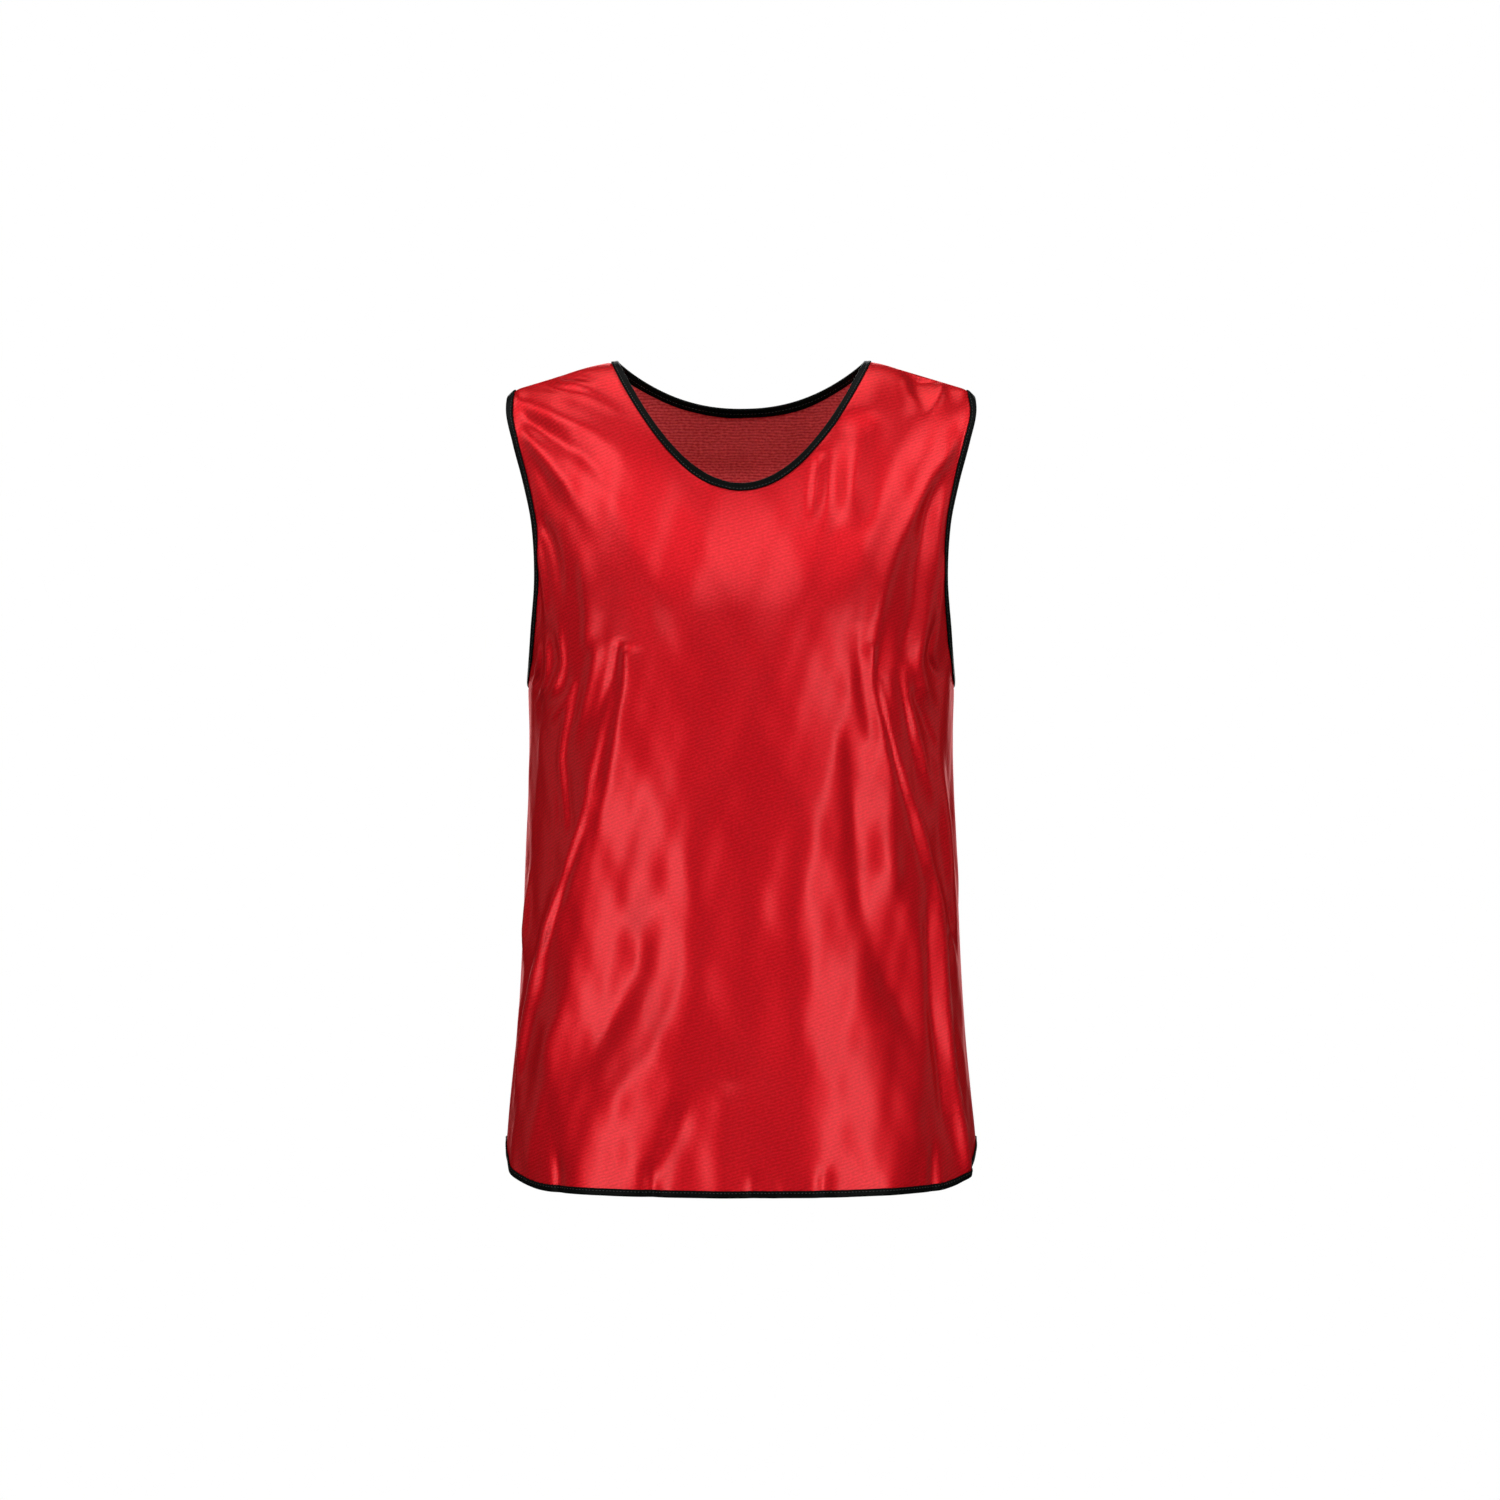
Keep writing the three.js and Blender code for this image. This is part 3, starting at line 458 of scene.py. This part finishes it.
def fold_height(fold, everywhere):
    """The height of one fold at every place. Only the places within its reach are worked out."""
    line = spine(fold.path)
    reach = FOLD_REACH * fold.width
    lowest, highest = line.min(axis=0) - reach, line.max(axis=0) + reach
    within = ((everywhere > lowest) & (everywhere < highest)).all(axis=1)
    place = everywhere[within]
    nearest = np.full(len(place), np.inf)
    along, side = np.zeros(len(place)), np.zeros(len(place))
    for i, (start, end) in enumerate(zip(line[:-1], line[1:])):
        run, offset = end - start, place - start
        t = np.clip(offset @ run / (run @ run), 0, 1)
        distance = np.linalg.norm(offset - t[:, None] * run, axis=1)
        closer = distance < nearest
        nearest[closer] = distance[closer]
        along[closer] = ((i + t) / (len(line) - 1))[closer]
        side[closer] = np.sign(run[1] * offset[:, 0] - run[0] * offset[:, 1])[closer]
    width = fold.width * (1 - LEAN_SHARE * fold.lean * side)
    comes_and_goes = smooth(along / fold.head) * smooth((1 - along) / fold.tail)
    height = np.zeros(len(everywhere))
    height[within] = fold.lift * comes_and_goes * np.exp(-((nearest / width) ** 2))
    return height


# %% [markdown]
# The tape holds the cloth still at the neckline and the armholes, and so does a seam, so folds die away
# there; at the hem they run on to the tape. A slow, shallow waviness is added between them, because real
# cloth is never quite as smooth as a formula.
# The cloth is pushed along the plain surface's normal. The grid's own would be unsafe here: beside the neck
# its columns crowd together, and the cloth would cross itself.

# %% Fold the two panels
EDGE_STILL = 8.0
SEAM_STILL = 18.0
Ripple = namedtuple("Ripple", "across_length down_length phase height")
RIPPLES = [
    Ripple(62, 310, 0.4, 0.55),
    Ripple(97, 170, 2.1, 0.6),
    Ripple(38, 120, 4.0, 0.22),
    Ripple(-53, 96, 1.2, 0.25),
    Ripple(-27, 61, 5.1, 0.1),
    Ripple(19, 83, 3.3, 0.07),
]


def across_of(grid):
    share = np.clip(grid[..., 0] / level("ring", -grid[..., 2]), -1, 1)
    return QUARTER_GIRTH * np.arcsin(share) / (math.pi / 2)


def fold_panel(panel, folds):
    grid = plain[panel]
    across, down = across_of(grid), -grid[..., 2]
    there = ~np.isnan(down)
    place = np.stack([across[there], down[there]], axis=-1)
    lift = sum(fold_height(fold, place) for fold in folds)
    for ripple in RIPPLES:
        turns = place[:, 0] / ripple.across_length + place[:, 1] / ripple.down_length
        lift = lift + ripple.height * np.sin(2 * math.pi * turns + ripple.phase)
    top_edge = np.where(np.isnan(grid[-1]), grid[-2], grid[-1])
    to_top = np.linalg.norm(grid - top_edge, axis=-1)
    arm_rows = np.maximum(np.arange(ROWS), FIRST_ROW + BODY_ROWS)
    on_right = (np.arange(COLUMNS) < CENTRE)[None, :, None]
    arm_edge = np.where(on_right, grid[arm_rows, :1], grid[arm_rows, -1:])
    to_arm = np.nan_to_num(np.linalg.norm(grid - arm_edge, axis=-1), nan=1e3)
    to_side = (1 - np.minimum(column_of / HALF_COLUMNS, 1)) * QUARTER_GIRTH
    still = smooth(np.fmin(np.nan_to_num(to_top, nan=0.0), to_arm) / EDGE_STILL)
    still = still * np.where(row_of <= BODY_ROWS, smooth(to_side / SEAM_STILL), 1)
    folded = grid.copy()
    push = plain_normal(panel, grid[..., 0][there], down[there])
    push[on_seam[there], 1] = 0
    push /= np.linalg.norm(push, axis=1, keepdims=True)
    folded[there] += (lift * still[there])[:, None] * push
    return folded, float(np.abs(lift).max())


folded = {}
for panel, folds in (("front", FRONT_FOLDS), ("back", BACK_FOLDS)):
    folded[panel], tallest = fold_panel(panel, folds)
    print(panel, "folds reach", round(tallest, 1), "mm")

# %% [markdown]
# ## Making the cloth
# Each grid becomes a mesh with a quad wherever its four corners exist. Texture coordinates are in metres
# of cloth, so the knit keeps its size. A Solidify modifier gives the thin wall, with the shiny face
# outside and the matt side of the knit inside.

# %% A mesh from a folded grid
CLOTH_THICKNESS = 0.6
SEAM_GAP = 0.3


def new_object(name, vertices, faces, materials):
    mesh = bpy.data.meshes.new(name)
    mesh.from_pydata([tuple(v) for v in vertices], [], [tuple(f) for f in faces])
    for material in materials:
        mesh.materials.append(material)
    mesh.shade_smooth()
    thing = bpy.data.objects.new(name, mesh)
    bpy.context.scene.collection.objects.link(thing)
    return thing


def to_frame(panel, points):
    turned = points * (1, -1, 1) if panel == "back" else points
    return turned * MM


def make_panel(panel, name, materials):
    grid = folded[panel].copy()
    grid[..., 1] -= SEAM_GAP / 2
    there = ~np.isnan(grid[..., 0])
    index = np.full(there.shape, -1)
    index[there] = np.arange(there.sum())
    around = [index[:-1, :-1], index[:-1, 1:], index[1:, 1:], index[1:, :-1]]
    corners = np.stack(around, axis=-1).reshape(-1, 4)
    faces = corners[(corners >= 0).all(axis=1)]
    if panel == "back":
        faces = faces[:, ::-1]
    cloth = new_object(name, to_frame(panel, grid[there]), faces, materials)
    flat = np.stack([across_of(plain[panel])[there], plain[panel][..., 2][there]], axis=-1) * MM
    layer = cloth.data.uv_layers.new(name="cloth")
    loops = np.empty(len(cloth.data.loops), dtype=int)
    cloth.data.loops.foreach_get("vertex_index", loops)
    layer.data.foreach_set("uv", flat[loops].ravel())
    wall = cloth.modifiers.new("wall", "SOLIDIFY")
    wall.thickness = CLOTH_THICKNESS * MM
    wall.offset = 0
    wall.material_offset = 1
    wall.material_offset_rim = 1
    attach(cloth, "root")
    return cloth


# %% [markdown]
# ## The satin face
# Dull light spreads along the floats of a satin knit, so its shine is a wide coloured streak. It could be
# painted with a plain glossy red, but then the streaks come out white and round. Here three quarters of
# the shine are metal-like, which colours it, and it is stretched along one direction of the cloth. A weak
# clear coat gives the crests their pink glint.

# %% Satin for the outside
# Base colours of the satin: a painted shade for the knit's valleys and a painted highlight for its loop
# tops.
SATIN_SHADED_VALLEY, SATIN_LIT_TOP = (0.46, 0.001, 0.004, 1), (0.66, 0.004, 0.013, 1)


def new_material(name, colour, roughness):
    material = bpy.data.materials.new(name)
    material.use_nodes = True
    shader = material.node_tree.nodes["Principled BSDF"]
    shader.inputs["Base Color"].default_value = colour
    shader.inputs["Roughness"].default_value = roughness
    return material, material.node_tree.nodes, material.node_tree.links, shader


def math_node(nodes, links, operation, first, second):
    node = nodes.new("ShaderNodeMath")
    node.operation = operation
    for socket, value in zip(node.inputs, (first, second)):
        if isinstance(value, float):
            socket.default_value = value
        else:
            links.new(value, socket)
    return node.outputs["Value"]


def knit_height(nodes, links, wale, course, slant):
    """The little hills of a knit: slanting courses of loops, broken up as the loops differ."""
    coordinates = nodes.new("ShaderNodeUVMap")
    coordinates.uv_map = "cloth"
    turned = nodes.new("ShaderNodeMapping")
    turned.inputs["Rotation"].default_value = (0, 0, math.radians(slant))
    links.new(coordinates.outputs["UV"], turned.inputs["Vector"])
    courses = nodes.new("ShaderNodeTexWave")
    courses.wave_type = "BANDS"
    courses.bands_direction = "Y"
    courses.inputs["Scale"].default_value = 2 * math.pi / (20 * course * MM)
    courses.inputs["Distortion"].default_value = 2.6
    courses.inputs["Detail"].default_value = 1
    courses.inputs["Detail Scale"].default_value = 0.9
    links.new(turned.outputs["Vector"], courses.inputs["Vector"])
    loops = nodes.new("ShaderNodeTexNoise")
    loops.inputs["Scale"].default_value = 1 / (wale * MM)
    loops.inputs["Detail"].default_value = 1
    links.new(coordinates.outputs["UV"], loops.inputs["Vector"])
    ribs = math_node(nodes, links, "MULTIPLY", courses.outputs["Fac"], 0.35)
    return math_node(nodes, links, "ADD", ribs, loops.outputs["Fac"])


def paint_knit_shade(nodes, links, shader, height, low, high):
    """Painted shade and highlight: the base colour follows the knit's height, darker in the valleys between
    the loops and lighter on their tops.
    """
    ramp = nodes.new("ShaderNodeValToRGB")
    ramp.color_ramp.elements[0].position, ramp.color_ramp.elements[0].color = 0.4, low
    ramp.color_ramp.elements[1].position, ramp.color_ramp.elements[1].color = 1.0, high
    links.new(height, ramp.inputs["Fac"])
    links.new(ramp.outputs["Color"], shader.inputs["Base Color"])


def add_bump(nodes, links, shader, height, strength, distance):
    bump = nodes.new("ShaderNodeBump")
    bump.inputs["Strength"].default_value = strength
    bump.inputs["Distance"].default_value = distance * MM
    links.new(height, bump.inputs["Height"])
    links.new(bump.outputs["Normal"], shader.inputs["Normal"])


satin, nodes, links, shader = new_material("red satin face", SATIN_LIT_TOP, 0.46)
shader.inputs["Metallic"].default_value = 0.75
shader.inputs["Specular Tint"].default_value = (1.0, 0.06, 0.09, 1)
shader.inputs["Anisotropic"].default_value = 0.45
shader.inputs["Coat Weight"].default_value = 0.12
shader.inputs["Coat IOR"].default_value = 2.0
shader.inputs["Coat Roughness"].default_value = 0.32
floats = nodes.new("ShaderNodeTangent")
floats.direction_type = "UV_MAP"
floats.uv_map = "cloth"
links.new(floats.outputs["Tangent"], shader.inputs["Tangent"])
satin_knit = knit_height(nodes, links, wale=2.0, course=2.7, slant=-20)
add_bump(nodes, links, shader, satin_knit, strength=0.5, distance=0.2)
# Painted shade in the knit's valleys and painted highlight on its loop tops.
paint_knit_shade(nodes, links, shader, satin_knit, SATIN_SHADED_VALLEY, SATIN_LIT_TOP)

# %% [markdown]
# The inside is the knit's technical back, matt and a little paler, with its loops showing.

# %% Matt knit for the inside
# Base colours of the inside: a painted shade for the knit's valleys and a painted highlight for its loop
# tops.
KNIT_SHADED_VALLEY, KNIT_LIT_TOP = (0.62, 0.025, 0.035, 1), (1.0, 0.11, 0.11, 1)
inside, nodes, links, shader = new_material("red knit inside", KNIT_LIT_TOP, 0.75)
shader.inputs["Specular IOR Level"].default_value = 0.25
shader.inputs["Sheen Weight"].default_value = 0.3
shader.inputs["Sheen Roughness"].default_value = 0.6
shader.inputs["Sheen Tint"].default_value = (1.0, 0.45, 0.45, 1)
knit_back = knit_height(nodes, links, wale=2.0, course=2.4, slant=0)
add_bump(nodes, links, shader, knit_back, strength=0.9, distance=0.5)
# Painted shade in the knit's valleys and painted highlight on its loop tops.
paint_knit_shade(nodes, links, shader, knit_back, KNIT_SHADED_VALLEY, KNIT_LIT_TOP)

front_cloth = make_panel("front", "front_cloth", [satin, inside])
back_cloth = make_panel("back", "back_cloth", [satin, inside])
for cloth, node in ((front_cloth, "front_panel"), (back_cloth, "back_panel")):
    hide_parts(node)
    print(cloth.name, "has", len(cloth.data.polygons), "quads")

# %% [markdown]
# ## The tape
# Each edge is bound with a strip of black tape, folded over the edge and stitched down through all its
# layers. It is drawn as a profile that runs round the edge: up one side of the cloth, over the fold, and
# down the other. Each place along the edge has a track, which leads from the edge in over the folded
# cloth, so that the tape lies on the cloth wherever it reaches.

# %% Where the tapes run
normals = {panel: grid_normals(folded[panel]) for panel in folded}
Track = namedtuple("Track", "points normals lengths")
ARMHOLE_TRACK_CELLS = 8


def make_track(panel, cells):
    turn = (1, -1, 1) if panel == "back" else (1, 1, 1)
    points = np.array([folded[panel][cell] for cell in cells]) * turn
    up = np.array([normals[panel][cell] for cell in cells]) * turn
    if len(cells) == 2:
        points = np.concatenate([points, [2 * points[1] - points[0]]])
        up = np.concatenate([up, up[1:]])
    steps = np.linalg.norm(np.diff(points, axis=0), axis=1)
    return Track(points, up, np.r_[0, steps.cumsum()])


def neck_tracks():
    at = lambda panel, c: make_track(panel, [(ROWS - 1, CENTRE + c), (ROWS - 2, CENTRE + c)])
    front = [at("front", c) for c in range(-NECK_COLUMNS, NECK_COLUMNS + 1)]
    back = [at("back", c) for c in range(NECK_COLUMNS - 1, -NECK_COLUMNS, -1)]
    return front + back


def armhole_tracks(side):
    columns = [CENTRE + side * (HALF_COLUMNS + 1 - i) for i in range(ARMHOLE_TRACK_CELLS)]
    at = lambda panel, row: make_track(panel, [(row, column) for column in columns])
    first, last = FIRST_ROW + BODY_ROWS, FIRST_ROW + TOP_ROW
    front = [at("front", row) for row in range(first, last + 1)]
    back = [at("back", row) for row in range(last - 1, first, -1)]
    return (front + back)[::-side]


def hem_tracks():
    at = lambda panel, c: make_track(panel, [(0, CENTRE + c), (1, CENTRE + c)])
    front = [at("front", c) for c in range(HALF_COLUMNS, -HALF_COLUMNS - 1, -1)]
    back = [at("back", c) for c in range(-HALF_COLUMNS + 1, HALF_COLUMNS)]
    return front + back


def on_cloth(tracks, distances):
    """Points and normals of the cloth at a distance in from the edge, one for each track."""
    read = lambda track, rows, d: [np.interp(d, track.lengths, rows[:, k]) for k in range(3)]
    points = [read(track, track.points, d) for track, d in zip(tracks, distances)]
    up = [read(track, track.normals, d) for track, d in zip(tracks, distances)]
    return np.array(points), np.array(up)


# %% [markdown]
# The profile is a short list of places: how far in towards the tip, as a share, and how far off the cloth.
# The turned-in edges of the tape make it a little fatter at the tip than in the middle. The inner leg is
# the wider one, so that the stitches can't miss it, and at the shoulder tips the outer leg spreads where
# the tape turns the corner.

# %% The tape's profile
TAPE_THICKNESS = 0.8
Place = namedtuple("Place", "inwards off")
TAPE_LEG = [
    Place(1.0, 0.75),
    Place(0.93, 1.15),
    Place(0.75, 1.2),
    Place(0.5, 1.0),
    Place(0.25, 1.05),
    Place(0.05, 1.0),
]
FOLD_RADIUS, FOLD_FLATNESS = 1.0, 0.7
FOLD_TURNS = [60, 30, 0, -30, -60]
OUTER_LEG = {"neck": 5.0, "armhole": 5.4, "hem": 4.6}
INNER_LEG = {"neck": 7.6, "armhole": 6.8, "hem": 6.2}
CORNER_SPREAD, CORNER_REACH = 3.2, 13.0
THROAT_SPREAD, THROAT_REACH = 1.3, 45.0


def legs(kind, tracks):
    edge = np.array([track.points[0] for track in tracks])
    outer = np.full(len(tracks), OUTER_LEG[kind])
    if kind == "armhole":
        from_tip = -ridge_down(SHOULDER_TIP) - edge[:, 2]
        outer += CORNER_SPREAD * np.exp(-((from_tip / CORNER_REACH) ** 2))
    if kind == "neck":
        outer += np.where(edge[:, 1] < 0, THROAT_SPREAD * np.exp(-((edge[:, 0] / THROAT_REACH) ** 2)), 0)
    return outer, np.full(len(tracks), INNER_LEG[kind])


def tape_profile(kind, tracks):
    """Points of the tape's middle layer, one row of them for each track."""
    sides = []
    for face, reach in zip((1, -1), legs(kind, tracks)):
        side = []
        for place in TAPE_LEG:
            points, up = on_cloth(tracks, reach * place.inwards)
            side.append(points + face * place.off * up)
        sides.append(side)
    edge, edge_normal = on_cloth(tracks, np.zeros(len(tracks)))
    outwards = edge - np.array([track.points[1] for track in tracks])
    outwards /= np.linalg.norm(outwards, axis=1, keepdims=True)
    fold = [
        edge + FOLD_RADIUS * (math.cos(turn) * outwards * FOLD_FLATNESS + math.sin(turn) * edge_normal)
        for turn in np.radians(FOLD_TURNS)
    ]
    return np.stack(sides[0] + fold + sides[1][::-1], axis=1)


def make_tape(name, kind, tracks, material, node):
    profile = tape_profile(kind, tracks)
    count, places = profile.shape[:2]
    here = np.arange(count)[:, None] * places + np.arange(places - 1)
    there = (np.arange(count)[:, None] + 1) % count * places + np.arange(places - 1)
    faces = np.stack([here, there, there + 1, here + 1], axis=-1).reshape(-1, 4)
    tape = new_object(name, profile.reshape(-1, 3) * MM, faces, [material])
    wall = tape.modifiers.new("wall", "SOLIDIFY")
    wall.thickness = TAPE_THICKNESS * MM
    wall.offset = 0
    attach(tape, "root")
    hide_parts(node)
    middle = (profile[:, 0] + profile[:, -1]) / 2
    length = np.linalg.norm(np.roll(middle, -1, axis=0) - middle, axis=1).sum()
    width = np.linalg.norm(np.diff(profile, axis=1), axis=2).sum(axis=1).mean()
    print(f"{name}: {length:.0f} mm of tape, {width:.1f} mm wide")
    return tape, length, width


# %% [markdown]
# Black binding tape is a close plain weave with very little shine, just enough for a soft grey line along
# the fold.

# %% Tape and thread
TAPE_BLACK = (0.002, 0.0026, 0.0022, 1)
tape_black, nodes, links, shader = new_material("black binding tape", TAPE_BLACK, 0.42)
shader.inputs["Specular IOR Level"].default_value = 0.03
grain = nodes.new("ShaderNodeTexNoise")
grain.inputs["Scale"].default_value = 900
grain.inputs["Detail"].default_value = 2
object_place = nodes.new("ShaderNodeTexCoord")
links.new(object_place.outputs["Object"], grain.inputs["Vector"])
add_bump(nodes, links, shader, grain.outputs["Fac"], strength=0.5, distance=0.15)

edges = {
    "neck_tape": ("neck", neck_tracks(), "neck_binding"),
    "armhole_tape_left": ("armhole", armhole_tracks(1), "armhole_binding_left"),
    "armhole_tape_right": ("armhole", armhole_tracks(-1), "armhole_binding_right"),
    "hem_tape": ("hem", hem_tracks(), "hem_binding"),
}
tapes = {
    name: make_tape(name, kind, tracks, tape_black, node)
    for name, (kind, tracks, node) in edges.items()
}

# %% [markdown]
# A row of lockstitches runs just inside the tape's tip, on both faces. Each stitch is a small lozenge of
# thread that dips into the tape at its ends. All the stitches of one tape are joined in one mesh.

# %% Stitches
THREAD_BLACK = (0.014, 0.015, 0.014, 1)
thread_black = new_material("black thread", THREAD_BLACK, 0.4)[0]
STITCH_PITCH, STITCH_LENGTH, THREAD_WIDTH = 3.0, 2.3, 0.5
STITCH_INSET = 1.5
STITCH_SIDES = 6
STITCH_SHOULDERS = (0.3, 0.7)
STITCH_DIP, THREAD_SINK = 0.25, 0.05


def stitch_line(kind, tracks, face):
    points, up = on_cloth(tracks, legs(kind, tracks)[0] - STITCH_INSET)
    thickest = max(place.off for place in TAPE_LEG)
    return points + face * (thickest + TAPE_THICKNESS / 2 - THREAD_SINK) * up, face * up


def make_stitches(name, kind, tracks):
    vertices, faces = [], []
    for face in (1, -1):
        line, normal = stitch_line(kind, tracks, face)
        line = np.concatenate([line, line[:1]])
        normal = np.concatenate([normal, normal[:1]])
        length = np.r_[0, np.linalg.norm(np.diff(line, axis=0), axis=1).cumsum()]
        at = lambda s, values: np.array([np.interp(s, length, values[:, k]) for k in range(3)])
        for start in np.linspace(0, length[-1], int(length[-1] / STITCH_PITCH), endpoint=False):
            a, b = at(start, line), at(start + STITCH_LENGTH, line)
            up = at(start + STITCH_LENGTH / 2, normal)
            across = np.cross(b - a, up)
            across /= np.linalg.norm(across)
            first = len(vertices)
            vertices += [a - STITCH_DIP * up, b - STITCH_DIP * up]
            for share in STITCH_SHOULDERS:
                for k in range(STITCH_SIDES):
                    turn = 2 * math.pi * k / STITCH_SIDES
                    ring = math.cos(turn) * across + math.sin(turn) * up
                    vertices.append(a + (b - a) * share + ring * THREAD_WIDTH / 2)
            for k in range(STITCH_SIDES):
                near, next_near = first + 2 + k, first + 2 + (k + 1) % STITCH_SIDES
                far, next_far = near + STITCH_SIDES, next_near + STITCH_SIDES
                faces += [(first, next_near, near), (near, next_near, next_far, far)]
                faces.append((first + 1, far, next_far))
    thread = new_object(name, np.array(vertices) * MM, faces, [thread_black])
    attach(thread, "root")
    print(name, "has", len(vertices) // (2 + 2 * STITCH_SIDES), "stitches")
    return thread


stitches = {
    name: make_stitches(name.replace("tape", "stitches"), kind, tracks)
    for name, (kind, tracks, _) in edges.items()
}

# %% [markdown]
# ## What the cloth was cut from
# A panel was cut from a piece as wide as half the hem's girth and as long as the bib, less its neckline
# and armholes. Each tape is a strip.


# %% [markdown]
# ## The studio
# The bib is lit by two tall soft boxes, low and well to the left and right, so that the middle of the
# front stays deep red and the light lies in bands on each side below the chest. A box above the camera
# and one overhead light the upper chest, and pairs higher up light the shoulders and the outer sides. A
# weaker set stands behind. The backdrop and the floor are plain white, and only the camera sees them.

# %% Lights
TARGET = np.array([0, 0, -0.35])


def soft_box(box):
    light = bpy.data.lights.new(box.name, "AREA")
    light.shape = "RECTANGLE"
    light.size, light.size_y = box.width, box.height
    light.energy = box.power
    lamp = bpy.data.objects.new(box.name, light)
    turn, rise = math.radians(box.azimuth), math.radians(box.elevation)
    away = np.array([math.sin(turn) * math.cos(rise), -math.cos(turn) * math.cos(rise), math.sin(rise)])
    lamp.location = TARGET + box.distance * away
    lamp.rotation_euler = (math.pi / 2 - rise, 0, turn)
    bpy.context.scene.collection.objects.link(lamp)


Box = namedtuple("Box", "name azimuth elevation distance width height power")
BOXES = [
    Box("left box", -38, -12, 2.3, 0.5, 1.5, 17.5),
    Box("right box", 36, -12, 2.3, 0.5, 1.5, 17),
    Box("top box", 0, 32, 2.2, 0.9, 1.3, 14),
    Box("overhead box", 0, 92, 1.9, 1.6, 1.2, 15),
    Box("left shoulder box", -54, 40, 2.2, 0.8, 0.7, 10),
    Box("right shoulder box", 54, 40, 2.2, 0.8, 0.7, 10),
    Box("front fill", 0, 2, 4.5, 1.6, 2.4, 2.6),
    Box("left side box", -98, 6, 2.2, 0.6, 1.6, 2.2),
    Box("right side box", 98, 6, 2.2, 0.6, 1.6, 2.6),
    Box("left upper box", -98, 36, 1.9, 0.7, 0.7, 5),
    Box("right upper box", 98, 36, 1.9, 0.7, 0.7, 4),
    Box("back left box", -156, 8, 2.6, 0.5, 1.6, 9),
    Box("back right box", 156, 8, 2.6, 0.5, 1.6, 9),
    Box("back box", 180, 28, 2.8, 0.9, 1.2, 16),
]
for box in BOXES:
    soft_box(box)
world = bpy.data.worlds.new("studio air")
bpy.context.scene.world = world
world.use_nodes = True
world.node_tree.nodes["Background"].inputs["Color"].default_value = (1, 1, 1, 1)
world.node_tree.nodes["Background"].inputs["Strength"].default_value = 0.06
bpy.context.scene.view_settings.view_transform = "Standard"

# %% Backdrop and floor
FLOOR = -1.45
BACKDROP_RADIUS = 9.0
paper = bpy.data.materials.new("white paper")
paper.use_nodes = True
paper.node_tree.nodes.clear()
glow = paper.node_tree.nodes.new("ShaderNodeEmission")
glow.inputs["Color"].default_value = (1, 1, 1, 1)
paper_out = paper.node_tree.nodes.new("ShaderNodeOutputMaterial")
paper.node_tree.links.new(glow.outputs["Emission"], paper_out.inputs["Surface"])


def stage_piece(name, add, **settings):
    add(**settings)
    piece = bpy.context.object
    piece.name = name
    piece.data.materials.append(paper)
    piece.visible_diffuse = False
    piece.visible_glossy = False
    piece.visible_transmission = False
    piece.visible_shadow = False
    return piece


stage_piece("backdrop", bpy.ops.mesh.primitive_uv_sphere_add, radius=BACKDROP_RADIUS, location=(0, 0, 0))
disc = {"radius": BACKDROP_RADIUS, "fill_type": "NGON", "location": (0, 0, FLOOR)}
stage_piece("floor", bpy.ops.mesh.primitive_circle_add, **disc)

# %% [markdown]
# The camera stands three metres in front, level with the middle of the bib, with a short telephoto lens.

# %% Camera
camera_data = bpy.data.cameras.new("camera")
camera_data.lens = 85.7
camera_data.sensor_width = 36
camera = bpy.data.objects.new("camera", camera_data)
camera.location = (0.0074, -3.0, -0.326)
camera.rotation_euler = (math.pi / 2, 0, 0)
bpy.context.scene.collection.objects.link(camera)
bpy.context.scene.camera = camera
